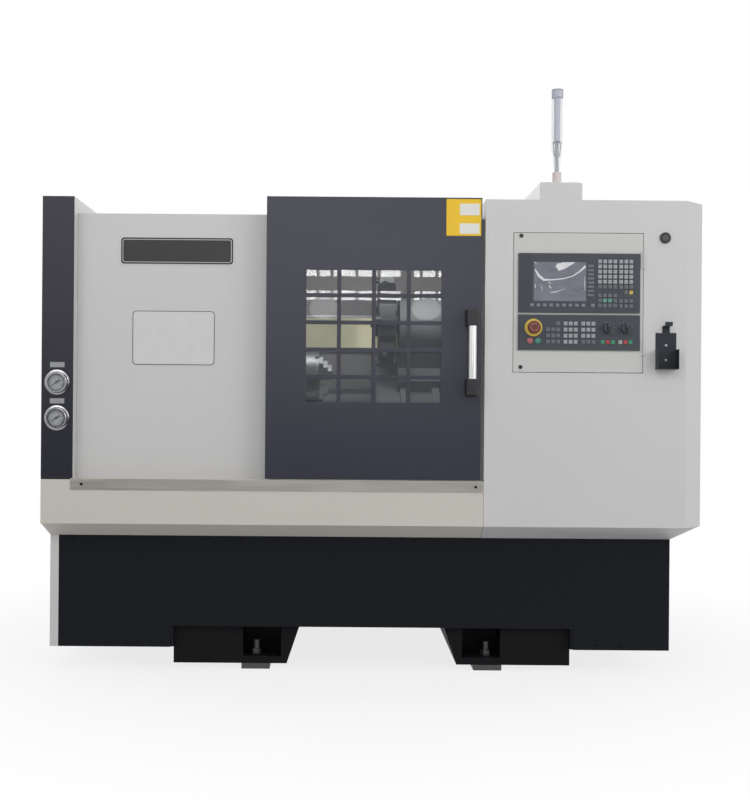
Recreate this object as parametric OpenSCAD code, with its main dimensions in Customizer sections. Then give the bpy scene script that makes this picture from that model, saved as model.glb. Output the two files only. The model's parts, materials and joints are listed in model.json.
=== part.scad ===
// Slant-bed turning lathe with a sliding door, a built-in operator panel and a signal lamp.
// Millimetres. X runs to the operator's right, Y to the back, Z up; the floor is Z = 0.

/* [Enclosure] */
// Overall width of the machine
machine_w = 2300; // [2240:10:2400]
// Overall depth from the door grip to the back of the electrical cabinet
machine_d = 1510; // [1480:10:1600]
// Depth of the electrical cabinet behind the enclosure
elec_d = 255; // [240:5:300]
// Height of the enclosure above the floor
body_h = 1650; // [1630:5:1700]
// Thickness of the folded sheet covers
sheet_t = 3; // [2:0.5:4]
// Height of the lower edge of the upper covers
skirt_z = 520; // [505:5:540]
// Distance of the roof of the machining area below the top of the covers
roof_drop = 60; // [50:5:90]
// Width of the left end cover with the gauges
column_w = 110; // [100:2:130]
// Width of the cabinet front beside the panel, for the lock and the pendant holder
lock_strip = 151; // [140:1:170]
// Size of the upright chamfer on the cabinet corner
cabinet_chamfer = 75; // [50:5:90]
// How far the front of the base stands behind the upper covers
base_setback = 75; // [60:5:90]

/* [Base] */
// Height of the joint between base and upper covers
base_top = 472; // [460:2:490]
// Lower edge of the base cover beside the feet
base_low = 80; // [60:5:100]
// Distance of the base casting from the ends of the machine
foot_inset = 450; // [430:5:490]
// Half width of the passage between the feet at its roof
gap_half = 255; // [220:5:280]
// Height of the passage between the feet
gap_h = 154; // [140:2:180]
// Height of the levelling pads
pad_h = 20; // [14:2:30]
// Diameter of the anchor bolt holes
anchor_d = 22; // [16:1:26]
// Diameter of the levelling screws
levelling_d = 24; // [20:2:30]

/* [Door] */
// Width of the sliding door
door_w = 744; // [720:4:752]
// Gap between the door and the operator cabinet
door_gap = 12; // [8:1:20]
// Thickness of the sliding door
door_t = 35; // [30:1:40]
// Lower edge of the door
door_z = 679; // [670:1:690]
// Number of window openings across
pane_columns = 4; // [3:1:5]
// Number of window openings up
pane_rows = 5; // [4:1:6]
// Width of one window opening
pane_w = 106; // [90:1:110]
// Height of one window opening
pane_h = 80; // [70:1:84]
// Width of the bars between window openings
pane_bar = 14; // [10:1:18]
// How far the grip stands in front of the door
grip_out = 55; // [45:1:65]

/* [Spindle and bed] */
// Height of the spindle axis above the floor
axis_z = 1040; // [1020:5:1060]
// Distance from the spindle axis back to the rear of the enclosure
axis_back = 670; // [655:5:680]
// Slant of the bed to the horizontal
slant = 45; // [40:1:50]
// Distance from the spindle axis down to the bed face
bed_drop = 300; // [290:2:320]
// Diameter of the three-jaw chuck
chuck_d = 210; // [160:5:250]
// Length of the chuck body
chuck_l = 90; // [80:2:110]
// Face of the chuck along the machine
chuck_face_x = -200; // [-230:5:-180]
// Diameter of the turret disc over its flats
turret_d = 300; // [260:5:330]
// Number of turret stations
stations = 8; // [6:2:12]

/* [Operator panel] */
// Width of the hinged panel plate
panel_w = 446; // [446:1:470]
// Height of the hinged panel plate
panel_h = 480; // [470:2:500]
// Distance of the panel from the left edge of the cabinet
panel_in = 98; // [80:2:120]
// Distance of the panel below the top of the cabinet
panel_drop = 115; // [90:5:150]
// Size of a square keycap
key_size = 13; // [11:0.5:14]
// Height of a keycap above its unit
key_out = 2.5; // [1.5:0.5:4]

/* [Signal lamp and gauges] */
// Outer diameter of the clear lamp tube
lamp_d = 44; // [36:1:56]
// Height of the lamp above its bracket
lamp_h = 334; // [300:2:380]
// Outer diameter of the gauge flange
gauge_d = 86; // [70:1:96]
// Spacing of the two gauges
gauge_pitch = 123; // [110:1:140]

/* [Hidden] */
$fn = 48;
// Running clearance between pieces of different bodies
clear = 0.5;
// Clearance round covers and plates
cover_gap = 2;
// Radial clearance of a shaft in its hole
shaft_clear = 0.05;
// Joint between ground faces that are bolted together on the slant
seat = 0.02;

left_x = -machine_w / 2;
right_x = machine_w / 2;
front_y = -machine_d / 2 + grip_out;
back_y = machine_d / 2;
rear_y = back_y - elec_d;
base_y = front_y + base_setback;
skin_y = front_y + sheet_t;
column_x = left_x + column_w;
cabinet_w = panel_in + panel_w + lock_strip + cabinet_chamfer;
cabinet_x = right_x - cabinet_w;
roof_z = body_h - roof_drop;
foot_out = machine_w / 2 - foot_inset;

// Cuboid between two corners
module block(low, high) {
  translate(low) cube(high - low);
}

// Extrudes an outline in (Y, Z) along X
module along_x(x0, x1) {
  translate([x0, 0, 0]) rotate([90, 0, 90]) linear_extrude(x1 - x0) children();
}

// Extrudes an outline in (X, Z) along Y
module along_y(y0, y1) {
  translate([0, y1, 0]) rotate([90, 0, 0]) linear_extrude(y1 - y0) children();
}

// Cylinder along X
module rod_x(x0, x1, d) {
  translate([x0, 0, 0]) rotate([0, 90, 0]) cylinder(h = x1 - x0, d = d);
}

// Cylinder along Y
module rod_y(y0, y1, d) {
  translate([0, y0, 0]) rotate([-90, 0, 0]) cylinder(h = y1 - y0, d = d);
}

// Slant frame: origin on the spindle axis, local Y up the slant, local Z away from the bed
axis_y = rear_y - axis_back;
module on_slant() {
  translate([0, axis_y, axis_z]) rotate([slant, 0, 0]) children();
}

// Base casting with its feet
base_wall = 40;
rib_t = 30;
bays = 3;
casting_front = 25;
casting_back = 50;
casting_y0 = base_y + casting_front;
casting_y1 = rear_y - casting_back;
gap_flare = 45;
flange_h = 25;
foot_wall = 65;
pocket_roof = 6;
pocket_in = gap_half + foot_wall;
pocket_w = 135;
pocket_d = 110;
pocket_top = gap_h - pocket_roof;
anchor_in = 28;
levelling_in = 90;
anchor_x = pocket_in + anchor_in;
levelling_x = pocket_in + levelling_in;
foot_in = 50;
foot_ys = [casting_y0 + foot_in, casting_y1 - foot_in];
flange_z = pad_h + flange_h;

module base_casting() {
  bay_w = (2 * (foot_out - base_wall) - (bays - 1) * rib_t) / bays;
  color("#17181b") difference() {
    along_y(casting_y0, casting_y1) polygon([
      [-foot_out, pad_h], [-gap_half - gap_flare, pad_h], [-gap_half, gap_h], [gap_half, gap_h],
      [gap_half + gap_flare, pad_h], [foot_out, pad_h], [foot_out, base_top], [-foot_out, base_top]
    ]);
    for (i = [0:bays - 1])
      translate([-foot_out + base_wall + i * (bay_w + rib_t), casting_y0 + base_wall, gap_h + base_wall])
        cube([bay_w, casting_y1 - casting_y0 - 2 * base_wall, base_top]);
    for (sx = [-1, 1], sy = [0, 1]) {
      pocket_y = sy == 0 ? casting_y0 - 1 : casting_y1 - pocket_d;
      translate([sx * (pocket_in + pocket_w / 2) - pocket_w / 2, pocket_y, flange_z])
        cube([pocket_w, pocket_d + 1, pocket_top - flange_z]);
      translate([sx * anchor_x, foot_ys[sy], 0]) cylinder(h = flange_z + 1, d = anchor_d);
      translate([sx * levelling_x, foot_ys[sy], 0]) cylinder(h = flange_z + 1, d = levelling_d + 2 * clear);
    }
  }
}

// Levelling screws with their pads and lock nuts
pad_w = 100;
nut_h = 18;
screw_out = 50;
screw_top = flange_z + screw_out;
module levelling_feet() {
  color("#8d8f92") for (sx = [-1, 1], sy = [0, 1]) translate([sx * levelling_x, foot_ys[sy], 0]) {
    translate([-pad_w / 2, -pad_w / 2, 0]) cube([pad_w, pad_w, pad_h]);
    translate([0, 0, pad_h]) cylinder(h = screw_top - pad_h, d = levelling_d);
    translate([0, 0, flange_z]) cylinder(h = nut_h, d = 1.75 * levelling_d, $fn = 6);
  }
}

// Lower covers round the base
left_in = 17;
left_flange = 30;
right_in = 105;
base_x0 = left_x + left_in + left_flange;
base_x1 = right_x - right_in;
notch_gap = 8;
notch_x = foot_out + notch_gap;
rear_low = 200;
module base_cover() {
  color("#1c1e23") union() {
    along_y(base_y, base_y + sheet_t) polygon([
      [base_x0, base_low], [-notch_x, base_low], [-notch_x, gap_h], [notch_x, gap_h], [notch_x, base_low],
      [base_x1, base_low], [base_x1, base_top], [base_x0, base_top]
    ]);
    block([base_x1 - sheet_t, base_y, base_low], [base_x1, rear_y - sheet_t, base_top]);
  }
}

module left_lower_panel() {
  color("#cfcdc6") union() {
    block([left_x + left_in, base_y, base_low], [left_x + left_in + sheet_t, rear_y - sheet_t, base_top]);
    block([left_x + left_in, base_y, base_low], [base_x0, base_y + sheet_t, base_top]);
  }
}

// Left end cover: a folded channel with a closed back
inner_leg_z = 700;
module left_end_cover() {
  t = sheet_t;
  color("#dcdbd6") union() {
    along_y(skin_y, rear_y) polygon([
      [left_x + left_in, base_top], [left_x, skirt_z], [left_x, body_h], [column_x, body_h],
      [column_x, inner_leg_z], [column_x - t, inner_leg_z], [column_x - t, body_h - t], [left_x + t, body_h - t],
      [left_x + t, skirt_z], [left_x + left_in + t, base_top]
    ]);
    block([left_x + t, rear_y - t, skirt_z], [column_x, rear_y, body_h]);
  }
}

// Dark front of the left column with the two hydraulic gauges
gauge_x = left_x + column_w / 2;
gauge_low_z = 884;
gauge_zs = [gauge_low_z + gauge_pitch, gauge_low_z];
gauge_r = gauge_d / 2;
flange_step = 7;
case_step = 9;
case_r = gauge_r - case_step;
bezel_r = gauge_r - flange_step;
bezel_h = 18;
bezel_w = 7;
bezel_round = 2;
gauge_flange_t = 4;
dial_h = 8;
case_back = 40;
lens_t = 2;
lens_gap = 0.1;
module gauge_panel() {
  color("#2b2c35") difference() {
    block([left_x, front_y, door_z + 1], [column_x, skin_y, body_h]);
    for (z = gauge_zs) translate([gauge_x, 0, z]) rod_y(front_y - 1, skin_y + 1, 2 * case_r + 2 * clear);
  }
}

// Places a turned part on each gauge centre, its axis pointing to the operator
module at_gauge(i) {
  translate([gauge_x, front_y, gauge_zs[i]]) rotate([90, 0, 0]) children();
}

module gauge_cases() {
  color("#c6c8ca") for (i = [0, 1]) at_gauge(i) rotate_extrude() polygon([
    [0, -case_back], [case_r, -case_back], [case_r, 0], [gauge_r, 0], [gauge_r, gauge_flange_t],
    [bezel_r, gauge_flange_t + bezel_round], [bezel_r, bezel_h - bezel_round], [bezel_r - bezel_round, bezel_h],
    [bezel_r - bezel_w, bezel_h], [bezel_r - bezel_w, dial_h], [0, dial_h]
  ]);
}

module gauge_lenses() {
  color("#dfe6ea", 0.4) for (i = [0, 1]) at_gauge(i)
    translate([0, 0, bezel_h - bezel_round - lens_t]) cylinder(h = lens_t, r = bezel_r - bezel_w - lens_gap);
}

// Needles: a hub with a tapered pointer and a short tail
needle_zero = 216;
needle_l = 25;
needle_tail = 13;
needle_tip = 0.5;
needle_base = 2.4;
needle_t = 1;
needle_up = 1.5;
hub_r = 3.5;
hub_h = 4;
module gauge_needle(i) {
  color("#15161a") at_gauge(i) rotate([0, 0, needle_zero]) translate([0, 0, dial_h + clear]) union() {
    cylinder(h = hub_h, r = hub_r);
    translate([0, 0, needle_up]) linear_extrude(needle_t) polygon([
      [-needle_tail, -needle_base], [-needle_tail, needle_base], [needle_l, needle_tip], [needle_l, -needle_tip]
    ]);
  }
}
module upper_needle() { gauge_needle(0); }
module lower_needle() { gauge_needle(1); }

// Fixed front panel that the door slides over
door_x1 = cabinet_x - door_gap;
door_x0 = door_x1 - door_w;
door_back = 20;
door_lap = 12;
roof_lap = 10;
fixed_y = front_y + door_t + door_back;
fixed_x1 = door_x0 + door_lap;
fixed_top = roof_z + roof_lap;
return_d = 30;
sill_gap = 7;
sill_z = door_z - sill_gap;
sill_d = 100;
module fixed_front_panel() {
  t = sheet_t;
  color("#d8d7d2") union() {
    block([column_x, fixed_y, sill_z], [fixed_x1, fixed_y + t, fixed_top]);
    block([fixed_x1 - t, fixed_y, sill_z], [fixed_x1, fixed_y + return_d, roof_z - t]);
  }
}

// Apron below the door, with a sill and a slanted underside; its left end is trimmed to the end cover
cabinet_seam = 1;
module left_trim(inset, y0, y1) {
  along_y(y0, y1) polygon([
    [left_x - 1, sill_z + 1], [left_x + inset, sill_z + 1], [left_x + inset, skirt_z],
    [left_x + left_in + inset, base_top], [left_x + left_in + inset, base_top - 1], [left_x - 1, base_top - 1]
  ]);
}
module apron() {
  t = sheet_t;
  color("#cbc9bf") difference() {
    along_x(left_x, cabinet_x - cabinet_seam) polygon([
      [front_y + sill_d, sill_z], [front_y, sill_z], [front_y, skirt_z], [base_y, base_top],
      [base_y, base_top + t], [front_y + t, skirt_z + t / 2], [front_y + t, sill_z - t],
      [front_y + sill_d, sill_z - t]
    ]);
    left_trim(0, front_y - 1, skin_y + 1);
    left_trim(t, skin_y, front_y + sill_d + 1);
  }
}

// Bright strip that guides the lower edge of the door
strip_h = 40;
strip_t = 2;
strip_lap = 8;
strip_end = 4;
strip_top = door_z - 3;
module sill_strip() {
  color("#b9b6ae") block(
    [column_x - strip_lap, front_y - strip_t, strip_top - strip_h], [cabinet_x - strip_end, front_y, strip_top]
  );
}

// Roof over the machining area and the rail that the door hangs on
rail_in = 45;
rail_y = fixed_y + rail_in;
rail_t = 10;
rail_h = 15;
rail_end = 10;
module roof_panel() {
  color("#d8d7d2") block([column_x, fixed_y + sheet_t, roof_z - sheet_t], [cabinet_x, rear_y - sheet_t, roof_z]);
}
module door_rail() {
  color("#9a9c9f")
    block([column_x + rail_end, rail_y, roof_z], [cabinet_x - rail_end, rail_y + rail_t, roof_z + rail_h]);
}

// Rear panel inside the folded edges of the end cover and the operator cabinet
module rear_panel() {
  t = sheet_t;
  x0 = left_x + left_in;
  color("#d8d7d2") along_y(rear_y - t, rear_y) polygon([
    [x0, rear_low], [base_x1, rear_low], [base_x1, base_top], [base_x1 - t, base_top], [right_x - 2 * t, skirt_z],
    [right_x - t, skirt_z + t], [right_x - t, roof_z], [column_x, roof_z], [column_x, skirt_z], [x0 + t, skirt_z],
    [x0 + t, base_top], [x0, base_top]
  ]);
}

// Operator cabinet: folded front, chamfered corner, right side, top and slanted skirt
panel_x0 = cabinet_x + panel_in;
panel_x1 = panel_x0 + panel_w;
panel_z = body_h - panel_drop - panel_h;
lock_low = 14;
lock_x = panel_x1 + lock_strip / 2;
lock_z = panel_z + panel_h - lock_low;
lock_d = 38;
lock_body_d = 30;
lock_core_d = 21;
lock_head = 5;
lock_l = 22;
slot_half = [1.2, 6];
mitre = tan(22.5);
module cabinet_plan(inset) {
  e = inset > 0 ? 1 : 0;
  polygon([
    [cabinet_x - e, front_y + inset], [right_x - cabinet_chamfer - mitre * inset, front_y + inset],
    [right_x - inset, front_y + cabinet_chamfer + mitre * inset], [right_x - inset, rear_y + e],
    [cabinet_x - e, rear_y + e]
  ]);
}
module cabinet_skirt(inset) {
  e = inset > 0 ? 1 : 0;
  hull() {
    translate([0, 0, skirt_z]) linear_extrude(0.5 + e) cabinet_plan(inset);
    translate([cabinet_x - e, base_y + inset, base_top - e])
      cube([base_x1 - cabinet_x + e - inset, rear_y - base_y + e - inset + (e > 0 ? inset : 0), 0.5]);
  }
}
module operator_cabinet() {
  t = sheet_t;
  color("#dcdbd6") difference() {
    union() {
      difference() {
        translate([0, 0, skirt_z]) linear_extrude(body_h - skirt_z) cabinet_plan(0);
        translate([0, 0, skirt_z - 1]) linear_extrude(body_h - skirt_z + 1 - t) cabinet_plan(t);
      }
      difference() {
        cabinet_skirt(0);
        cabinet_skirt(t);
      }
      block([cabinet_x, front_y, skirt_z], [cabinet_x + t, front_y + sill_d, body_h]);
      block([cabinet_x, front_y, roof_z], [cabinet_x + t, rear_y, body_h]);
    }
    block(
      [panel_x0 - cover_gap, front_y - 1, panel_z - cover_gap],
      [panel_x1 + cover_gap, skin_y + 1, panel_z + panel_h + cover_gap]
    );
    translate([lock_x, 0, lock_z]) rod_y(front_y - 1, skin_y + 1, lock_body_d);
  }
}

// Cam lock beside the panel
module key_lock() {
  color("#1a1b1e") translate([lock_x, front_y, lock_z]) difference() {
    union() {
      rod_y(-lock_head, 0, lock_d);
      rod_y(0, lock_l, lock_body_d - 2 * clear);
    }
    rod_y(-lock_head - 1, lock_l + 1, lock_core_d + 2 * shaft_clear);
  }
}
module lock_barrel() {
  color("#c2c4c6") translate([lock_x, front_y, lock_z]) difference() {
    rod_y(-lock_head - 1, lock_l + 4, lock_core_d);
    block([-slot_half[0], -lock_head - 2, -slot_half[1]], [slot_half[0], -2, slot_half[1]]);
  }
}

// Pendant holder: back plate, neck with a forward hook, cheeks and a shelf
holder_side = 5;
holder_rise = 12;
holder_x = lock_x + holder_side;
holder_z = panel_z + holder_rise;
holder_w = 72;
holder_h = 126;
holder_out = 38;
holder_t = 2;
cheek_h = 69;
neck_w = 26;
neck_h = 24;
hook_h = 14;
module pendant_holder() {
  t = holder_t;
  w = holder_w / 2;
  neck_z = holder_h + neck_h;
  color("#16171a") translate([holder_x, front_y, holder_z]) union() {
    block([-w, -t, 0], [w, 0, holder_h]);
    along_x(-neck_w / 2, neck_w / 2) polygon([
      [0, holder_h - 1], [0, neck_z], [-holder_out + t, neck_z], [-holder_out + t, neck_z + hook_h - t],
      [-holder_out, neck_z + hook_h - t], [-holder_out, neck_z - t], [-t, neck_z - t], [-t, holder_h - 1]
    ]);
    for (sx = [-1, 1]) translate([sx * (w - t / 2) - t / 2, -holder_out, 0]) cube([t, holder_out, cheek_h]);
    block([-w, -holder_out, 0], [w, 0, t]);
  }
}

// Electrical cabinet at the back with a hinged door
elec_w = 1200;
elec_side = 200;
elec_up = 40;
elec_down = 50;
elec_x1 = right_x - elec_side;
elec_x0 = elec_x1 - elec_w;
elec_z0 = skirt_z + elec_up;
elec_z1 = roof_z - elec_down;
elec_t = 25;
elec_door_t = 18;
latch_w = 28;
latch_h = 120;
latch_in = 40;
latch_out = 12;
elec_door_y = back_y - latch_out - elec_door_t;
elec_back = elec_door_y - cover_gap;
pin_d = 12;
pin_l = 100;
pin_in = 120;
pin_out = 9;
pin_leaf = 4;
elec_hinge_x = elec_x1 + pin_out;
elec_hinge_y = elec_door_y + elec_door_t / 2;
module electrical_cabinet() {
  t = elec_t;
  color("#d2d1cb") difference() {
    block([elec_x0, rear_y, elec_z0], [elec_x1, elec_back, elec_z1]);
    block([elec_x0 + t, rear_y + sheet_t, elec_z0 + t], [elec_x1 - t, elec_back + 1, elec_z1 - t]);
  }
}
module electrical_door() {
  latch_z = (elec_z0 + elec_z1 - latch_h) / 2;
  color("#d8d7d2") union() {
    block([elec_x0, elec_door_y, elec_z0], [elec_x1, elec_door_y + elec_door_t, elec_z1]);
    for (z = [elec_z0 + pin_in, elec_z1 - pin_in - pin_l]) {
      translate([elec_hinge_x, elec_hinge_y, z]) cylinder(h = pin_l, d = pin_d);
      translate([elec_x1 - 1, elec_hinge_y - pin_leaf / 2, z]) cube([pin_out + 1, pin_leaf, pin_l]);
    }
    translate([elec_x0 + latch_in, back_y - latch_out - 1, latch_z]) cube([latch_w, latch_out + 1, latch_h]);
  }
}

// Slant bed: face, hollow core and groove for the ball screw
bed_in = 10;
bed_over = 200;
bed_x0 = -foot_out + bed_in;
bed_x1 = foot_out + bed_over;
bed_half = 300;
bed_shelf = 80;
bed_wall = 45;
screw_u = 105;
screw_sink = 5;
screw_n = -bed_drop - screw_sink;
screw_d = 32;
groove_w = 90;
groove_d = 45;
groove_start = 130;
bed_back = 20;
function slant_y(u, n) = axis_y + u * cos(slant) - n * sin(slant);
function slant_z(u, n) = axis_z + u * sin(slant) + n * cos(slant);
bed_rear = casting_y1 - bed_back;
bed_low = [slant_y(-bed_half, -bed_drop), slant_z(-bed_half, -bed_drop)];
bed_high = [slant_y(bed_half, -bed_drop), slant_z(bed_half, -bed_drop)];
module bed_outline() {
  polygon([
    [bed_low[0], base_top], bed_low, bed_high, [bed_high[0] + bed_shelf, bed_high[1]],
    [bed_rear, bed_high[1] - 2 * bed_shelf], [bed_rear, base_top]
  ]);
}
module slant_bed() {
  w = bed_wall;
  k = groove_d + w;
  color("#8f9496") difference() {
    along_x(bed_x0, bed_x1) bed_outline();
    along_x(bed_x0 - 1, bed_x1 + 1) polygon([
      [bed_low[0] + w, base_top + w], [bed_low[0] + w, bed_low[1] - 0.6 * k],
      [bed_high[0] + 0.3 * k, bed_high[1] - 1.3 * k], [bed_rear - w, bed_high[1] - 3 * bed_shelf],
      [bed_rear - w, base_top + w]
    ]);
    on_slant() block(
      [chuck_face_x - groove_start, screw_u - groove_w / 2, -bed_drop - groove_d],
      [bed_x1 + 1, screw_u + groove_w / 2, -bed_drop + 1]
    );
  }
}

// Linear rails of the carriage and of the tailstock
rail_w = 34;
rail_up = 30;
rail_start = 115;
rail_top = -bed_drop + rail_up;
rails_x0 = chuck_face_x - rail_start;
carriage_us = [-20, 230];
tail_us = [-250, -130];
module guide_rails() {
  color("#b4b8ba") on_slant() for (u = concat(carriage_us, tail_us))
    block([rails_x0, u - rail_w / 2, -bed_drop + seat], [bed_x1 - bed_in, u + rail_w / 2, rail_top]);
}

// Guide blocks that straddle a rail, between two local X stations
block_gap = 6;
module guide_block(x0, x1, u, top) {
  difference() {
    block([x0, u - rail_w, -bed_drop + block_gap], [x1, u + rail_w, top]);
    block([x0 - 1, u - rail_w / 2 - clear, -bed_drop], [x1 + 1, u + rail_w / 2 + clear, rail_top + clear]);
  }
}

// Headstock with the bore of the spindle
head_x0 = bed_x0;
nose_l = 40;
head_x1 = chuck_face_x - chuck_l - nose_l;
head_r = 165;
bore_d = 120;
module headstock() {
  color("#9aa09f") on_slant() difference() {
    union() {
      rod_x(head_x0, head_x1, 2 * head_r);
      block([head_x0, -head_r, -bed_drop + seat], [head_x1, head_r, 0]);
    }
    rod_x(head_x0 - 1, head_x1 + 1, bore_d);
  }
}

// Spindle with nose flange, driven pulley and hydraulic chuck cylinder
nose_d = 150;
pulley_d = 200;
pulley_l = 65;
pulley_gap = 10;
pulley_x = head_x0 - pulley_gap - pulley_l;
cylinder_d = 160;
cylinder_l = 150;
union_d = 80;
union_l = 45;
shaft_end = 20;
module spindle() {
  end_x = pulley_x - shaft_end;
  color("#a9adaf") on_slant() union() {
    rod_x(end_x, head_x1 + cover_gap, bore_d - 2 * shaft_clear);
    rod_x(head_x1 + cover_gap, chuck_face_x - chuck_l, nose_d);
    rod_x(pulley_x, pulley_x + pulley_l, pulley_d);
    rod_x(end_x - cylinder_l, end_x, cylinder_d);
    rod_x(end_x - cylinder_l - union_l, end_x - cylinder_l, union_d);
  }
}

// Three-jaw chuck with a radial slot for each jaw
jaw_w = 38;
jaw_l = 50;
slot_w = 22;
slot_d = 14;
slot_in = 8;
jaw_in = 30;
jaw_out = 92;
face_l = 8;
face_in = 6;
module at_jaw(i) {
  on_slant() rotate([90 + 120 * i, 0, 0]) children();
}
module chuck() {
  color("#a4a8ab") difference() {
    on_slant() union() {
      rod_x(chuck_face_x - chuck_l, chuck_face_x - face_l, chuck_d);
      rod_x(chuck_face_x - face_l, chuck_face_x, chuck_d - 2 * face_in);
    }
    for (i = [0:2]) at_jaw(i)
      block([chuck_face_x - slot_d, jaw_in - slot_in, -slot_w / 2], [chuck_face_x + 1, chuck_d, slot_w / 2]);
  }
}
module jaw(i) {
  step = jaw_l / 3;
  tongue = slot_w / 2 - clear;
  color("#7d8184") at_jaw(i) union() {
    block([chuck_face_x - slot_d + clear, jaw_in, -tongue], [chuck_face_x + 2, jaw_out, tongue]);
    block([chuck_face_x + clear, jaw_in, -jaw_w / 2], [chuck_face_x + step, jaw_out, jaw_w / 2]);
    block([chuck_face_x + clear, jaw_in, -jaw_w / 2], [chuck_face_x + 2 * step, 0.78 * jaw_out, jaw_w / 2]);
    block([chuck_face_x + clear, jaw_in, -jaw_w / 2], [chuck_face_x + 3 * step, 0.56 * jaw_out, jaw_w / 2]);
  }
}
module jaw_1() { jaw(0); }
module jaw_2() { jaw(1); }
module jaw_3() { jaw(2); }

// Spindle motor on a bracket at the left of the base, with its pulley and the belt
motor_d = 220;
motor_l = 250;
motor_gap = 15;
motor_drop = 400;
motor_y = axis_y;
motor_z = axis_z - motor_drop;
motor_pulley_d = 120;
shaft_d = 38;
shaft_in = 38;
box_w = 120;
box_up = 40;
box_at = 85;
plate_t = 12;
plate_over = 40;
plate_down = 120;
belt_t = 8;
belt_in = 6;
module at_motor() {
  translate([pulley_x, motor_y, motor_z]) children();
}
module spindle_motor() {
  low = base_top - motor_z;
  r = motor_d / 2;
  half = r + plate_over;
  side = -foot_out - pulley_x;
  foot_x0 = -motor_l;
  color("#3b3f45") at_motor() difference() {
    union() {
      rod_x(-motor_gap - motor_l, -motor_gap, motor_d);
      block([foot_x0, -r, low], [-2 * motor_gap, r, 0]);
      block([-box_at - motor_gap - box_w, -box_w / 2, 0], [-box_at - motor_gap, box_w / 2, r + box_up]);
      block([foot_x0, -half, low], [side, half, low + plate_t]);
      block([side - plate_t, -half, low - plate_down], [side, half, low + plate_t]);
    }
    rod_x(-shaft_in - cover_gap, -motor_gap + 1, shaft_d + 2 * shaft_clear);
  }
}
module motor_pulley() {
  color("#777b7e") at_motor() union() {
    rod_x(0, pulley_l, motor_pulley_d);
    rod_x(-shaft_in, 0, shaft_d);
  }
}
module belt_loop(grow) {
  h = motor_drop;
  a = asin((pulley_d - motor_pulley_d) / 2 / h);
  r1 = motor_pulley_d / 2 + grow;
  r2 = pulley_d / 2 + grow;
  union() {
    circle(r1);
    translate([0, h]) circle(r2);
    polygon([
      [-r1 * cos(a), -r1 * sin(a)], [r1 * cos(a), -r1 * sin(a)],
      [r2 * cos(a), h - r2 * sin(a)], [-r2 * cos(a), h - r2 * sin(a)]
    ]);
  }
}
module drive_belt() {
  color("#15161a") at_motor() difference() {
    along_x(belt_in, pulley_l - belt_in) belt_loop(belt_t + clear);
    along_x(0, pulley_l) belt_loop(clear);
  }
}

// Carriage: saddle on the bed rails, with rails of its own for the cross slide
carriage_x = 130;
saddle_left = 100;
saddle_right = 180;
saddle_x0 = carriage_x - saddle_left;
saddle_x1 = carriage_x + saddle_right;
saddle_u0 = -90;
saddle_u1 = 330;
saddle_up = 75;
saddle_top = -bed_drop + saddle_up;
saddle_lip = 10;
cross_rail_w = 30;
cross_rail_h = 25;
cross_rail_at = 15;
cross_rail_span = 130;
cross_rail_end = 20;
cross_rail_top = saddle_top + cross_rail_h;
cross_rail_xs = [carriage_x + cross_rail_at, carriage_x + cross_rail_at + cross_rail_span];
nut_half = 35;
nut_l = 80;
module saddle() {
  half = cross_rail_w / 2;
  color("#868b8e") on_slant() union() {
    block([saddle_x0, saddle_u0, rail_top + clear], [saddle_x1, saddle_u1, saddle_top]);
    for (u = carriage_us) guide_block(saddle_x0 + saddle_lip, saddle_x1 - saddle_lip, u, saddle_top);
    for (x = cross_rail_xs)
      block([x - half, saddle_u0 + cross_rail_end, saddle_top], [x + half, saddle_u1, cross_rail_top]);
    translate([carriage_x, screw_u, 0]) difference() {
      block([0, -nut_half, -bed_drop - nut_half], [nut_l, nut_half, rail_top + 1]);
      translate([0, 0, screw_n]) rod_x(-1, nut_l + 1, screw_d + 2 * shaft_clear);
    }
  }
}
x_motor_w = 70;
x_motor_l = 130;
x_motor_at = 45;
x_motor_low = 2;
x_motor_high = 3;
encoder_l = 30;
encoder_in = 5;
module x_servo_motor() {
  color("#23262b") on_slant() translate([carriage_x + x_motor_at, saddle_u1, 0]) union() {
    block([0, 0, -bed_drop + x_motor_low], [x_motor_w, x_motor_l, saddle_top - x_motor_high]);
    block([encoder_in, x_motor_l, -bed_drop + x_motor_low + encoder_in],
      [x_motor_w - encoder_in, x_motor_l + encoder_l, saddle_top - x_motor_high - 2 * encoder_in]);
  }
}

// Ball screw of the carriage and its motor
z_motor_w = 110;
z_motor_l = 130;
z_encoder_w = 88;
z_encoder_l = 40;
screw_start = 100;
screw_end = 30;
module z_ballscrew() {
  color("#b9bdbf") on_slant() translate([0, screw_u, screw_n])
    rod_x(chuck_face_x - screw_start, bed_x1 + screw_end, screw_d);
}
module z_servo_motor() {
  w = z_motor_w / 2;
  e = z_encoder_w / 2;
  color("#23262b") on_slant() translate([bed_x1, screw_u, screw_n]) difference() {
    union() {
      block([0, -w, -w], [z_motor_l, w, w]);
      block([z_motor_l, -e, -e], [z_motor_l + z_encoder_l, e, e]);
    }
    rod_x(-1, screw_end + cover_gap, screw_d + 2 * shaft_clear);
  }
}

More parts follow.
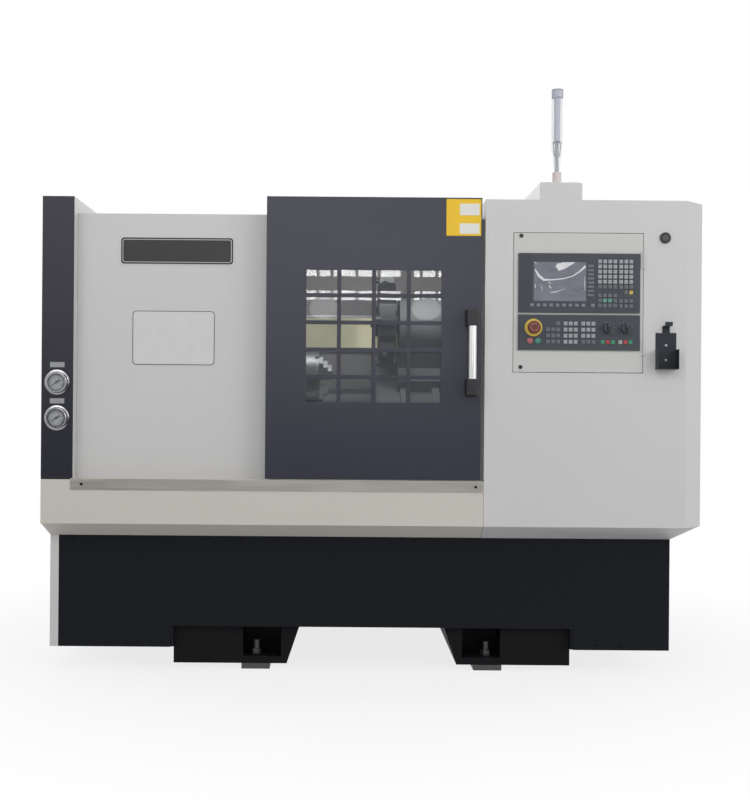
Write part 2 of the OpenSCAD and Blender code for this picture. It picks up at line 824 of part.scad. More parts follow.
// Cross slide with the turret housing
turret_u = 330;
cross_left = 10;
cross_right = 165;
cross_x0 = carriage_x - cross_left;
cross_x1 = carriage_x + cross_right;
cross_top = -160;
slide_u0 = 150;
slide_u1 = 430;
housing_d = 210;
cap_d = 150;
cap_l = 40;
turret_out = 95;
turret_x0 = carriage_x - turret_out;
turret_l = 70;
hub_d = 90;
hub_in = 55;
module cross_slide() {
  half = cross_rail_w / 2 + clear;
  color("#a7acae") on_slant() difference() {
    union() {
      difference() {
        block([cross_x0, slide_u0, saddle_top + clear], [cross_x1, slide_u1, cross_top]);
        for (x = cross_rail_xs)
          block([x - half, slide_u0 - 1, saddle_top], [x + half, slide_u1 + 1, cross_rail_top + clear]);
      }
      block([cross_x0, turret_u - housing_d / 2, cross_top - 1], [cross_x1, turret_u + housing_d / 2, 0]);
      translate([0, turret_u, 0]) rod_x(cross_x0, cross_x1, housing_d);
      translate([0, turret_u, 0]) rod_x(cross_x1, cross_x1 + cap_l, cap_d);
    }
    translate([0, turret_u, 0]) rod_x(cross_x0 - 1, cross_x0 + hub_in + 5, hub_d + 2 * shaft_clear);
  }
}

// Turret disc with a tool holder on every flat, turning and boring tools in turn
holder_l = 52;
holder_up = 38;
holder_in = 6;
shank_w = 20;
shank_out = 22;
shank_in = 14;
bar_d = 24;
bar_up = 20;
bar_out = 26;
boss_d = 120;
boss_l = 14;
module at_turret() {
  on_slant() translate([turret_x0, turret_u, 0]) children();
}
module turret_disc() {
  color("#8b9092") at_turret() union() {
    rotate([0, 90, 0]) rotate([0, 0, 180 / stations])
      cylinder(h = turret_l, r = turret_d / 2 / cos(180 / stations), $fn = stations);
    rod_x(turret_l, cross_x0 - turret_x0 + hub_in, hub_d);
    rod_x(-boss_l, 0, boss_d);
  }
}
module tool_holders() {
  r = turret_d / 2 + seat;
  w = shank_w / 2;
  top = r + holder_up;
  color("#55595d") at_turret() for (i = [0:stations - 1]) rotate([360 / stations * i, 0, 0]) {
    block([holder_in, -holder_l / 2, r], [turret_l - holder_in, holder_l / 2, top]);
    if (i % 2 == 0) block([shank_in, -w, top], [shank_in + shank_w, w, top + shank_out]);
    else translate([0, 0, r + bar_up]) rod_x(-bar_out, holder_in + 1, bar_d);
  }
}

// Tailstock with its quill and centre
tail_l = 220;
tail_end = 40;
tail_x1 = bed_x1 - tail_end;
tail_x0 = tail_x1 - tail_l;
tail_u0 = -288;
tail_u1 = -96;
tail_head = 85;
tail_neck = 60;
tail_toe = 100;
tail_heel = 130;
tail_slope = 30;
quill_d = 80;
quill_out = 60;
quill_in = 40;
tail_bore = 30;
collar_l = 15;
collar_r = 27;
centre_l = 40;
centre_d = 44;
module tailstock() {
  d = -bed_drop;
  h = tail_head;
  k = tail_slope;
  color("#9aa09f") on_slant() difference() {
    union() {
      along_x(tail_x0, tail_x1) polygon([
        [tail_u0, rail_top + clear], [tail_u0, d + tail_toe], [-h, h - 1.5 * k], [-h + k, h], [h - k, h],
        [h, h - k], [h, -tail_neck], [tail_u1, d + tail_heel], [tail_u1, rail_top + clear]
      ]);
      for (u = tail_us) guide_block(tail_x0, tail_x1, u, d + 2 * rail_up);
    }
    rod_x(tail_x0 - 1, tail_x1 - tail_bore, quill_d + 2 * shaft_clear);
  }
}
module quill() {
  color("#b9bdbf") on_slant() translate([tail_x0 - quill_out, 0, 0]) union() {
    rod_x(0, quill_out + tail_l - quill_in, quill_d);
    rod_x(-collar_l, 0, 2 * collar_r);
    translate([-collar_l - centre_l, 0, 0]) rotate([0, 90, 0]) cylinder(h = centre_l, d1 = 4, d2 = centre_d);
  }
}

// Guards of the machining area: two bulkheads and a sloping chip tray
guard_x0 = head_x1 + cover_gap;
guard_x1 = bed_x1 - bed_in - cover_gap - sheet_t;
guard_back = 20;
tray_y = front_y + sill_d;
tray_drop = 16;
tray_gap = 4;
bed_gap = 40;
rear_gap = 60;
nose_gap = 15;
far = 2 * machine_d;
module bulkhead(x0) {
  along_x(x0, x0 + sheet_t) difference() {
    translate([tray_y, bed_low[1]]) square([rear_y - guard_back - tray_y, roof_z - sheet_t - bed_low[1]]);
    translate([axis_y, axis_z]) rotate(slant) translate([-far / 2, bed_gap - bed_drop - far]) square(far);
    translate([axis_y, axis_z]) circle(d = nose_d + 2 * nose_gap);
    translate([bed_high[0] - bed_in, bed_high[1] + rear_gap - far]) square(far);
  }
}
module inner_guard() {
  t = sheet_t;
  tray_z = sill_z - tray_drop;
  bed_edge = [bed_low[0] - tray_gap, bed_low[1] + cover_gap];
  color("#b8bbbb") union() {
    bulkhead(guard_x0);
    bulkhead(guard_x1);
    along_x(guard_x0, guard_x1 + t)
      polygon([[tray_y, tray_z], bed_edge, bed_edge - [0, t], [tray_y, tray_z - t]]);
  }
}

// Hydraulic unit at the left of the base: tank, motor pump and valve block
unit_gap = 40;
pack_front = 145;
pack_d = 540;
pack_top = 300;
pump_d = 150;
pump_h = 150;
valve_h = 70;
valve_w = 130;
valve_d = 240;
module hydraulic_unit() {
  x0 = left_x + left_in + unit_gap;
  x1 = -foot_out;
  valve_x = x1 - unit_gap;
  y0 = base_y + pack_front;
  color("#4a5058") union() {
    block([x0, y0, base_low], [x1, y0 + pack_d, pack_top]);
    translate([x0 + unit_gap + pump_d / 2, y0 + pump_d, pack_top]) cylinder(h = pump_h, d = pump_d);
    block([valve_x - valve_w, y0 + unit_gap, pack_top], [valve_x, y0 + unit_gap + valve_d, pack_top + valve_h]);
  }
}

// Coolant tank at the right of the base: open front well, covered rear with the pump
tank_wall = 6;
tank_front = 65;
tank_back = 80;
tank_end = 15;
tank_top = 330;
well_d = 294;
tank_pump_d = 140;
tank_pump_h = 120;
module coolant_tank() {
  w = tank_wall;
  x0 = foot_out;
  x1 = base_x1 - tank_end;
  y0 = base_y + tank_front;
  y1 = rear_y - tank_back;
  color("#7c8388") union() {
    difference() {
      block([x0, y0, base_low], [x1, y1, tank_top]);
      block([x0 + w, y0 + w, base_low + w], [x1 - w, y0 + w + well_d, tank_top + 1]);
    }
    translate([(x0 + x1) / 2, (y0 + w + well_d + y1) / 2, tank_top]) cylinder(h = tank_pump_h, d = tank_pump_d);
  }
}

// Signal lamp on its bracket
bracket_at = 197;
bracket_w = 149;
bracket_d = 400;
bracket_h = 73;
bracket_in = 60;
bracket_corner = 5;
lamp_in = 45;
lamp_side = 66;
bracket_x0 = cabinet_x + bracket_at;
lamp_x = bracket_x0 + lamp_side;
lamp_y = front_y + bracket_in + lamp_in;
lamp_r = lamp_d / 2;
lamp_z = body_h + bracket_h;
lamp_wall = 2;
post_r = 15.5;
post_h = 41;
neck_r = 8;
stem_r = 4;
stem_h = 56;
core_r = 11.5;
core_h = 146;
lamp_cap = 28;
cap_edge = 3;
cone_r = 11;
cone_h = 52;
module lamp_bracket() {
  c = bracket_corner;
  y0 = front_y + bracket_in;
  color("#dcdbd6") translate([bracket_x0, 0, body_h]) along_y(y0, y0 + bracket_d) polygon([
    [0, 0], [bracket_w, 0], [bracket_w, bracket_h - c], [bracket_w - c, bracket_h], [0, bracket_h]
  ]);
}
module lamp_foot() {
  cap_z = lamp_h - lamp_cap;
  color("#c9b3ae") translate([lamp_x, lamp_y, lamp_z]) rotate_extrude() polygon([
    [0, 0], [post_r, 0], [post_r, post_h], [neck_r, post_h], [neck_r, stem_h], [stem_r, stem_h], [stem_r, core_h],
    [core_r, core_h], [core_r, cap_z], [lamp_r - 1, cap_z], [lamp_r - 1, lamp_h - cap_edge],
    [lamp_r - 1 - cap_edge, lamp_h], [0, lamp_h]
  ]);
}
module lamp_tube() {
  w = lamp_wall;
  top = lamp_h - lamp_cap - clear / 2;
  color("#e6ecee", 0.35) translate([lamp_x, lamp_y, lamp_z]) rotate_extrude() polygon([
    [neck_r + clear / 2, cone_h], [cone_r, cone_h], [lamp_r, core_h], [lamp_r, top], [lamp_r - w, top],
    [lamp_r - w, core_h], [cone_r - w / 2, cone_h + w], [neck_r + clear / 2, cone_h + w]
  ]);
}

// Sliding door: folded skin with rows of window openings and a top bar
door_over = 5;
door_top = body_h + door_over;
fold_in = 6;
fold_d = door_t - fold_in;
bar_h = 60;
window_rise = 7;
window_w = pane_columns * pane_w + (pane_columns - 1) * pane_bar;
window_h = pane_rows * pane_h + (pane_rows - 1) * pane_bar;
window_z = (door_z + door_top - window_h) / 2 + window_rise;
window_x = (door_x0 + door_x1 - window_w) / 2;
glass_lap = 25;
glass_t = 8;
module door_panel() {
  t = sheet_t;
  color("#474a58") difference() {
    union() {
      difference() {
        block([door_x0, front_y, door_z], [door_x1, front_y + fold_d, door_top]);
        block([door_x0 + t, skin_y, door_z + t], [door_x1 - t, front_y + fold_d + 1, door_top - t]);
      }
      block([door_x0 + t, skin_y, door_top - bar_h], [door_x1 - t, front_y + fold_d, door_top - t]);
    }
    for (i = [0:pane_columns - 1], j = [0:pane_rows - 1])
      translate([window_x + i * (pane_w + pane_bar), front_y - 1, window_z + j * (pane_h + pane_bar)])
        cube([pane_w, t + 2, pane_h]);
  }
}
module door_glass() {
  color("#c9d4cf", 0.35) block(
    [window_x - glass_lap, skin_y, window_z - glass_lap],
    [window_x + window_w + glass_lap, skin_y + glass_t, window_z + window_h + glass_lap]
  );
}

// Door handle: two black brackets with round front edges and a bright grip between them
handle_in = 35;
handle_up = 294;
handle_h = 294;
handle_w = 43;
handle_end = 56;
handle_r = 8;
grip_d = 29;
grip_sink = 3;
handle_x = door_x1 - handle_in;
handle_z = door_z + handle_up;
grip_y = front_y - grip_out + grip_sink + grip_d / 2;
module door_handle() {
  w = handle_w / 2;
  r = handle_r;
  color("#121316") for (z = [handle_z, handle_z + handle_h - handle_end])
    translate([handle_x, front_y - grip_out, z]) linear_extrude(handle_end) union() {
      translate([-w, r]) square([handle_w, grip_out - r]);
      translate([r - w, 0]) square([handle_w - 2 * r, grip_out]);
      for (sx = [-1, 1]) translate([sx * (w - r), r]) circle(r);
    }
}
module door_grip() {
  color("#c9cbcc") translate([handle_x, grip_y, handle_z + handle_end])
    cylinder(h = handle_h - 2 * handle_end, d = grip_d);
}

// Hangers that carry the door on the roof rail
hanger_w = 80;
hanger_in = 100;
hanger_xs = [door_x0 + hanger_in, door_x1 - hanger_in];
hanger_t = 5;
hanger_down = 90;
hanger_gap = 8;
arm_t = 6;
shoe_wall = 8;
shoe_gap = 4;
module door_hangers() {
  y0 = front_y + fold_d;
  y1 = rail_y + rail_t + shoe_wall;
  top = door_top - hanger_gap;
  color("#6f7376") for (x = hanger_xs) translate([x - hanger_w / 2, 0, 0]) difference() {
    union() {
      block([0, y0, door_top - hanger_down], [hanger_w, y0 + hanger_t, top]);
      block([0, y0, top - arm_t], [hanger_w, y1, top]);
      block([0, rail_y - shoe_wall, roof_z + shoe_gap], [hanger_w, y1, top]);
    }
    block([-1, rail_y - clear, roof_z], [hanger_w + 1, rail_y + rail_t + clear, roof_z + rail_h + clear]);
  }
}

// Operator panel: hinged plate with a display unit and a control unit
unit_x = 15;
unit_w = 420;
display_z = 205;
display_h = 205;
control_z = 76;
control_h = 122;
plate_out = 1;
unit_out = 6;
unit_in = 10;
unit_deep = 55;
plate_y = front_y - plate_out;
unit_y = plate_y - unit_out;
unit_back = front_y + unit_deep;
barrel_d = 8;
barrel_l = 60;
barrel_in = 60;
barrel_gap = 3;
leaf_w = 9;
leaf_t = 2;
hinge_x = panel_x1 + barrel_gap;
hinge_y = plate_y - barrel_d / 2;
module at_panel() {
  translate([panel_x0, 0, panel_z]) children();
}
module unit_body(z, h, grow) {
  block([unit_x + unit_in - grow, plate_y - grow, z + unit_in - grow],
    [unit_x + unit_w - unit_in + grow, unit_back, z + h - unit_in + grow]);
}
module panel_plate() {
  color("#c9cac3") union() {
    at_panel() difference() {
      block([0, plate_y, 0], [panel_w, plate_y + sheet_t, panel_h]);
      unit_body(display_z, display_h, clear);
      unit_body(control_z, control_h, clear);
    }
    for (z = [panel_z + barrel_in, panel_z + panel_h - barrel_in - barrel_l]) {
      translate([hinge_x, hinge_y, z]) cylinder(h = barrel_l, d = barrel_d);
      block([panel_x1 - leaf_w, plate_y - leaf_t, z], [hinge_x, plate_y, z + barrel_l]);
    }
  }
}

// Places on the units, from the lower left corner of the panel plate
screen_low = [68, 245];
screen_size = [181, 135];
screen_deep = 2;
estop_at = [67.6, 153];
estop_d = 44;
estop_h = 17;
estop_lift = 8;
estop_edge = 4;
estop_pin = 22;
estop_pin_in = 28;
collar_d = 61;
collar_h = 3;
knob_xs = [324, 387];
knob_z = 153;
knob_d = 36;
knob_h = 16;
wing_w = 8;
wing_out = 6;
wing_in = 3;
knob_pin = 10;
knob_pin_in = 18;
push_xs = [56.3, 83.4];
push_z = 107.6;
push_d = 20;
push_out = 5;
module display_unit() {
  color("#4e535b") at_panel() union() {
    difference() {
      block([unit_x, unit_y, display_z], [unit_x + unit_w, plate_y, display_z + display_h]);
      translate([screen_low[0], unit_y - 1, screen_low[1]])
        cube([screen_size[0], screen_deep + 1, screen_size[1]]);
    }
    unit_body(display_z, display_h, 0);
  }
}
module control_unit() {
  color("#4e535b") at_panel() difference() {
    union() {
      block([unit_x, unit_y, control_z], [unit_x + unit_w, plate_y, control_z + control_h]);
      unit_body(control_z, control_h, 0);
      translate([estop_at[0], unit_y, estop_at[1]]) rod_y(-collar_h, 0, collar_d);
    }
    translate([estop_at[0], unit_y, estop_at[1]])
      rod_y(-collar_h - 1, 2 * estop_pin_in, estop_pin + 2 * shaft_clear);
    for (x = knob_xs) translate([x, unit_y, knob_z])
      rod_y(-1, knob_pin_in + cover_gap, knob_pin + 2 * shaft_clear);
  }
}

// Groups of keys: first centre, counts, pitches and cap size
key_pitch = 17.5;
soft_pitch = 22.1;
side_pitch = 14.3;
control_pitch = 21;
square_key = [key_size, key_size];
soft_key = [key_size + 2, key_size - 2];
side_key = [2 * key_size - 4, key_size - 3];
grid = [key_pitch, key_pitch];
tall_grid = [key_pitch, control_pitch];
soft_z = 230.8;
side_at = [264, 266];
letters_at = [295.7, 295];
digits_at = [368.5, 295];
edit_at = [386, 276];
cursor_at = [295.7, 230.5];
input_at = [368.5, 229];
control_key_z = 104.8;
mode_x = 118;
axis_x = 178.5;
function_x = 239.4;
feed_x = 307;
speed_x = 367.5;
key_groups = [
  [[62, soft_z], [9, 1], [soft_pitch, 0], soft_key],
  [[272, soft_z], [1, 1], grid, soft_key],
  [side_at, [1, 8], [0, side_pitch], side_key],
  [letters_at, [4, 6], grid, square_key],
  [digits_at, [3, 6], grid, square_key],
  [edit_at, [2, 1], grid, square_key],
  [cursor_at, [4, 3], grid, square_key],
  [input_at, [3, 2], grid, square_key],
  [[mode_x, control_key_z], [3, 3], tall_grid, square_key],
  [[mode_x + 2 * key_pitch, control_key_z + 3 * control_pitch], [1, 1], tall_grid, square_key],
  [[axis_x, control_key_z], [3, 4], tall_grid, square_key],
  [[function_x, control_key_z], [3, 4], tall_grid, square_key],
  [[feed_x, control_key_z], [3, 1], tall_grid, square_key],
  [[speed_x, control_key_z], [3, 1], tall_grid, square_key]
];
module keycap(x, z, size) {
  block([x - size[0] / 2, unit_y - key_out, z - size[1] / 2], [x + size[0] / 2, unit_y, z + size[1] / 2]);
}
module panel_keys() {
  color("#8b8f92") at_panel() union() {
    for (g = key_groups, i = [0:g[1][0] - 1], j = [0:g[1][1] - 1])
      keycap(g[0][0] + i * g[2][0], g[0][1] + j * g[2][1], g[3]);
    for (x = push_xs) translate([x, unit_y, push_z]) rod_y(-push_out, 0, push_d);
  }
}

// Emergency stop mushroom and the two override knobs
module estop_button() {
  color("#b32a22") at_panel() translate([estop_at[0], unit_y - collar_h, estop_at[1]])
    rotate([90, 0, 0]) rotate_extrude() polygon([
      [0, -estop_pin_in], [estop_pin / 2, -estop_pin_in], [estop_pin / 2, estop_lift], [estop_d / 2, estop_lift],
      [estop_d / 2, estop_lift + estop_h - estop_edge], [estop_d / 2 - estop_edge, estop_lift + estop_h],
      [0, estop_lift + estop_h]
    ]);
}
module knob(x) {
  half = knob_d / 2 - wing_in;
  color("#202226") at_panel() translate([x, unit_y, knob_z]) union() {
    rod_y(-knob_h, -clear, knob_d);
    block([-wing_w / 2, -knob_h - wing_out, -half], [wing_w / 2, -knob_h + 1, half]);
    rod_y(-1, knob_pin_in, knob_pin);
  }
}
module feed_knob() { knob(knob_xs[0]); }
module speed_knob() { knob(knob_xs[1]); }

base_casting();
levelling_feet();
base_cover();
left_lower_panel();
left_end_cover();
gauge_panel();
gauge_cases();
gauge_lenses();
upper_needle();
lower_needle();
fixed_front_panel();
apron();
sill_strip();
door_rail();
roof_panel();
rear_panel();
operator_cabinet();
key_lock();
lock_barrel();
pendant_holder();
electrical_cabinet();
electrical_door();
slant_bed();
guide_rails();
headstock();
spindle();
chuck();
jaw_1();
jaw_2();
jaw_3();
spindle_motor();
motor_pulley();
drive_belt();
saddle();
x_servo_motor();
z_ballscrew();
z_servo_motor();
cross_slide();
turret_disc();
tool_holders();
tailstock();
quill();
inner_guard();
hydraulic_unit();
coolant_tank();
lamp_bracket();
lamp_foot();
lamp_tube();
door_panel();
door_glass();
door_handle();
door_grip();
door_hangers();
panel_plate();
display_unit();
control_unit();
panel_keys();
estop_button();
feed_knob();
speed_knob();
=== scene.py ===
# %% [markdown]
# # An enclosed slant-bed turning lathe
# The solid model already has the right sizes: folded covers, a sliding door with a
# grid of window openings, an operator panel, gauges, a signal lamp and the turning
# machinery behind the door. This lesson dresses it. Sheet metal gets its small bend
# radii, each finish gets its own shader, and trim too small for the solids, such as
# screws, seals, dial marks and key colours, is modelled here.

# %% Load the solids
import json
import math

import bmesh
import bpy
from mathutils import Matrix, Vector


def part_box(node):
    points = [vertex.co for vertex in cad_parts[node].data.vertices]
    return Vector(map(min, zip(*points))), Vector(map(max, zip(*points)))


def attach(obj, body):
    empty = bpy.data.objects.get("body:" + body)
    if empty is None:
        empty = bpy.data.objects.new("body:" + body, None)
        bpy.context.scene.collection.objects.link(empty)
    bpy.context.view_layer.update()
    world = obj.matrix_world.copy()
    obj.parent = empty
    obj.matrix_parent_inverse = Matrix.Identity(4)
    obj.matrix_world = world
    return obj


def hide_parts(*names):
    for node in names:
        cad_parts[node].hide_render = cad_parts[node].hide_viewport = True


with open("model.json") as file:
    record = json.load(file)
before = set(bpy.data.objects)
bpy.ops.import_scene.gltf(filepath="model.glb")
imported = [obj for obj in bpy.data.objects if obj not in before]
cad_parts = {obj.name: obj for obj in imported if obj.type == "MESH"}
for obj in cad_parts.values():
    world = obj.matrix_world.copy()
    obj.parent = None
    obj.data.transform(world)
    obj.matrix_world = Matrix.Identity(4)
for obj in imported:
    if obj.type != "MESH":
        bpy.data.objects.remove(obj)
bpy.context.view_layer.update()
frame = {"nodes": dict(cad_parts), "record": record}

# %% [markdown]
# ## Camera
# The photograph looks squarely at the front from about four metres. A square look
# with an off-centre subject is what a shift lens does, so the camera points straight
# along +Y and the small sideways offset is lens shift. The picture also leans by
# under half a degree, which is a roll about the lens axis.

# %% Camera
IMAGE_TALL = 800
SENSOR_MM = 36
EYE = Vector((-0.122, -4.70, 0.960))
FOCAL_PX = 1159
ROLL_DEG = 0.45
PRINCIPAL_OFF = (36, -2)

camera_data = bpy.data.cameras.new("front_camera")
camera_data.sensor_width = SENSOR_MM
camera_data.lens = FOCAL_PX * SENSOR_MM / IMAGE_TALL
camera_data.shift_x = PRINCIPAL_OFF[0] / IMAGE_TALL
camera_data.shift_y = PRINCIPAL_OFF[1] / IMAGE_TALL
camera = bpy.data.objects.new("front_camera", camera_data)
bpy.context.collection.objects.link(camera)
camera.matrix_world = (
    Matrix.Translation(EYE)
    @ Matrix.Rotation(math.radians(90), 4, "X")
    @ Matrix.Rotation(math.radians(ROLL_DEG), 4, "Z")
)
bpy.context.scene.camera = camera
bpy.context.scene.view_settings.view_transform = "Standard"
print("camera lens:", round(camera_data.lens, 1), "mm")

# %% [markdown]
# ## Writing shaders as sums
# A finish is mostly arithmetic on noise: a colour that drifts, a roughness that is
# broken up, a bump that is very fine. `Value` wraps a socket so that such sums read
# as sums, and `Finish.node` adds any other node, settings first and sockets after.

# %% Shader helpers
# A mix node has sockets for every kind of data. These are the ones for colours.
MIX_INPUTS, MIX_RESULT = (0, 6, 7), 2


class Value:
    """A number that changes over a surface, as an output socket of a finish."""

    def __init__(self, finish, socket):
        self.finish = finish
        self.socket = socket

    def math(self, operation, first, second):
        sockets = {0: first, 1: second}
        return self.finish.node("ShaderNodeMath", {"operation": operation}, sockets)

    def __add__(self, other):
        return self.math("ADD", self, other)

    def __radd__(self, other):
        return self.math("ADD", other, self)

    def __rsub__(self, other):
        return self.math("SUBTRACT", other, self)

    def __mul__(self, other):
        return self.math("MULTIPLY", self, other)

    def __rmul__(self, other):
        return self.math("MULTIPLY", other, self)


class Finish:
    """One material while it is being written."""

    def __init__(self, name):
        self.material = bpy.data.materials.new(name)
        self.material.use_nodes = True
        self.tree = self.material.node_tree
        self.shader = self.tree.nodes["Principled BSDF"]

    def node(self, kind, settings=None, sockets=None, out=0):
        made = self.tree.nodes.new(kind)
        for key, setting in (settings or {}).items():
            if key == "stops":
                self.set_stops(made.color_ramp, setting)
            else:
                setattr(made, key, setting)
        for key, value in (sockets or {}).items():
            self.put(made.inputs[key], value)
        return Value(self, made.outputs[out])

    def set_stops(self, ramp, stops):
        while len(ramp.elements) < len(stops):
            ramp.elements.new(0.5)
        for element, (place, grey) in zip(ramp.elements, stops):
            element.position = place
            element.color = (grey, grey, grey, 1)

    def put(self, socket, value):
        if isinstance(value, Value):
            self.tree.links.new(value.socket, socket)
        else:
            socket.default_value = value

    def set(self, **sockets):
        for key, value in sockets.items():
            self.put(self.shader.inputs[key.replace("_", " ")], value)
        return self

    def place(self, stretch=(1, 1, 1)):
        here = self.node("ShaderNodeTexCoord", out="Object")
        if tuple(stretch) == (1, 1, 1):
            return here
        return self.node("ShaderNodeMapping", {}, {"Vector": here, "Scale": stretch})

    def noise(self, scale, detail=3, stretch=(1, 1, 1)):
        sockets = {"Vector": self.place(stretch), "Scale": scale, "Detail": detail}
        return self.node("ShaderNodeTexNoise", {}, sockets)

    def ramp(self, value, low, high):
        stops = {"stops": [(low, 0), (high, 1)]}
        return self.node("ShaderNodeValToRGB", stops, {"Fac": value})

    def blend(self, factor, first, second):
        made = self.tree.nodes.new("ShaderNodeMix")
        made.data_type = "RGBA"
        for index, value in zip(MIX_INPUTS, (factor, first, second)):
            self.put(made.inputs[index], (*value, 1) if isinstance(value, tuple) else value)
        return Value(self, made.outputs[MIX_RESULT])

    def bump(self, height, strength, distance=0.001):
        sockets = {"Height": height, "Strength": strength, "Distance": distance}
        return self.node("ShaderNodeBump", {}, sockets)


def srgb(red, green, blue):
    """A colour as picture values of 0 to 255, turned to the linear values of a shader."""
    def line(part):
        part = part / 255
        return part / 12.92 if part <= 0.04045 else ((part + 0.055) / 1.055) ** 2.4
    return (line(red), line(green), line(blue))


def shade(colour, factor):
    return tuple(part * factor for part in colour)


print("a picture value of 128 is", round(srgb(128, 128, 128)[0], 3), "in a shader")

# %% [markdown]
# ## Floor and studio light
# The floor is pale and takes the shadow near the feet. Further out it fades to the
# white of the background for rays that the camera or a mirror sends, so no horizon
# line shows. The light is an even sky with three large soft lamps: the covers should
# show about the colour that they are painted.

# %% Floor
FLOOR_HALF = 14
FLOOR_TONE = 0.62
FADE = (0.07, 0.15)
NEAR_WHITE = 0.80
SEEN_RAYS = ("Is Camera Ray", "Is Glossy Ray", "Is Transmission Ray")

floor_mesh = bpy.data.meshes.new("floor")
floor_bm = bmesh.new()
bmesh.ops.create_grid(floor_bm, x_segments=1, y_segments=1, size=FLOOR_HALF)
floor_bm.to_mesh(floor_mesh)
floor_bm.free()
floor = bpy.data.objects.new("floor", floor_mesh)
bpy.context.collection.objects.link(floor)

floor_finish = Finish("pale_floor")
floor_finish.set(Base_Color=(FLOOR_TONE, FLOOR_TONE, FLOOR_TONE, 1), Roughness=0.8)
reach = floor_finish.node(
    "ShaderNodeTexGradient",
    {"gradient_type": "SPHERICAL"},
    {"Vector": floor_finish.place((1 / FLOOR_HALF, 1 / FLOOR_HALF, 1))},
)
far = NEAR_WHITE + (1 - NEAR_WHITE) * floor_finish.ramp(1 - reach, *FADE)
seen = floor_finish.node("ShaderNodeLightPath", out=SEEN_RAYS[0])
for ray in SEEN_RAYS[1:]:
    seen = seen + floor_finish.node("ShaderNodeLightPath", out=ray)
glow = floor_finish.node("ShaderNodeEmission", {}, {"Color": (1, 1, 1, 1), "Strength": 1.0})
painted = Value(floor_finish, floor_finish.shader.outputs[0])
mixed = floor_finish.node("ShaderNodeMixShader", {}, {0: far * seen, 1: painted, 2: glow})
floor_finish.put(floor_finish.tree.nodes["Material Output"].inputs["Surface"], mixed)
floor.data.materials.append(floor_finish.material)
print("floor:", 2 * FLOOR_HALF, "m across")

# %% Sky
SKY_LIGHT = 0.50
SKY_TINT = (0.97, 0.98, 1.0, 1)
world = bpy.data.worlds.new("studio")
bpy.context.scene.world = world
world.use_nodes = True
sky_nodes = world.node_tree.nodes
sky_links = world.node_tree.links
sky = sky_nodes["Background"]
sky.inputs["Color"].default_value = SKY_TINT
sky.inputs["Strength"].default_value = SKY_LIGHT
backdrop = sky_nodes.new("ShaderNodeBackground")
backdrop.inputs["Color"].default_value = (1, 1, 1, 1)
ray_kind = sky_nodes.new("ShaderNodeLightPath")
sky_mix = sky_nodes.new("ShaderNodeMixShader")
shown = ray_kind.outputs[SEEN_RAYS[0]]
for ray in SEEN_RAYS[1:]:
    either = sky_nodes.new("ShaderNodeMath")
    either.operation = "MAXIMUM"
    sky_links.new(shown, either.inputs[0])
    sky_links.new(ray_kind.outputs[ray], either.inputs[1])
    shown = either.outputs[0]
sky_links.new(shown, sky_mix.inputs[0])
sky_links.new(sky.outputs[0], sky_mix.inputs[1])
sky_links.new(backdrop.outputs[0], sky_mix.inputs[2])
sky_links.new(sky_mix.outputs[0], sky_nodes["World Output"].inputs["Surface"])
print("sky strength:", SKY_LIGHT)

# %% Lamps
def soft_lamp(name, place, aim, size, watts):
    lamp = bpy.data.lights.new(name, "AREA")
    lamp.shape = "RECTANGLE"
    lamp.size, lamp.size_y = size
    lamp.energy = watts
    holder = bpy.data.objects.new(name, lamp)
    bpy.context.collection.objects.link(holder)
    turn = (Vector(aim) - Vector(place)).to_track_quat("-Z", "Y")
    holder.matrix_world = Matrix.Translation(place) @ turn.to_matrix().to_4x4()


soft_lamp("key_lamp", (-2.2, -5.4, 4.6), (0, 0, 1.0), (4.0, 2.6), 90)
soft_lamp("fill_lamp", (4.6, -3.6, 3.0), (0.3, 0, 0.9), (3.0, 3.0), 92)
soft_lamp("top_lamp", (0.0, -0.4, 5.2), (0, 0, 0), (4.0, 3.0), 58)
soft_lamp("rear_lamp", (-1.0, 5.5, 3.8), (0, 0, 1.0), (4.0, 2.5), 80)
print("lamps:", len(bpy.data.lights))

# %% [markdown]
# ## Something to reflect
# Flat glass facing a blank studio looks like paper. A row of bright window lights far
# in front of the machine, over head height, gives the door panes the broken white
# strips that such glass shows in a workshop, and two dimmer round lights give soft
# spots below them. A low black flag, which only mirror rays see, keeps the white floor
# out of the lower half of the dark paint, so the door deepens towards its foot. They
# all belong to the stage and don't light the covers.

# %% Window lights
HALL_Y = -9.0
WINDOW_BARS = (-0.60, -0.355, -0.207, 0.059, 0.293, 0.541, 0.651, 0.741, 0.906, 1.06)
WINDOW_GAPS = {(0.541, 0.651)}
WINDOW_ROWS = ((2.253, 2.335), (2.004, 2.100))
BAR_WIDE = 0.034
ROUND_XS, ROUND_Z, ROUND_SIZE = (-0.29, 0.80), 1.912, (0.31, 0.235)
WINDOW_GLOW, ROUND_GLOW = 34, 7
FLAG_Y, FLAG_WIDE, FLAG_TALL = -2.8, 6.0, 0.95


def stage_light(name, bm, strength):
    mesh = bpy.data.meshes.new(name)
    bm.to_mesh(mesh)
    bm.free()
    lights = bpy.data.objects.new(name, mesh)
    bpy.context.collection.objects.link(lights)
    finish = Finish(name)
    finish.set(Base_Color=(0, 0, 0, 1), Emission_Color=(1, 1, 1, 1), Emission_Strength=strength)
    mesh.materials.append(finish.material)
    return lights


def upright_card(place, wide, tall):
    """Where a two by two card lands when it stands at a place, facing the machine."""
    stand = Matrix.Rotation(math.radians(90), 4, "X")
    return Matrix.Translation(place) @ stand @ Matrix.Diagonal((wide / 2, tall / 2, 1, 1))


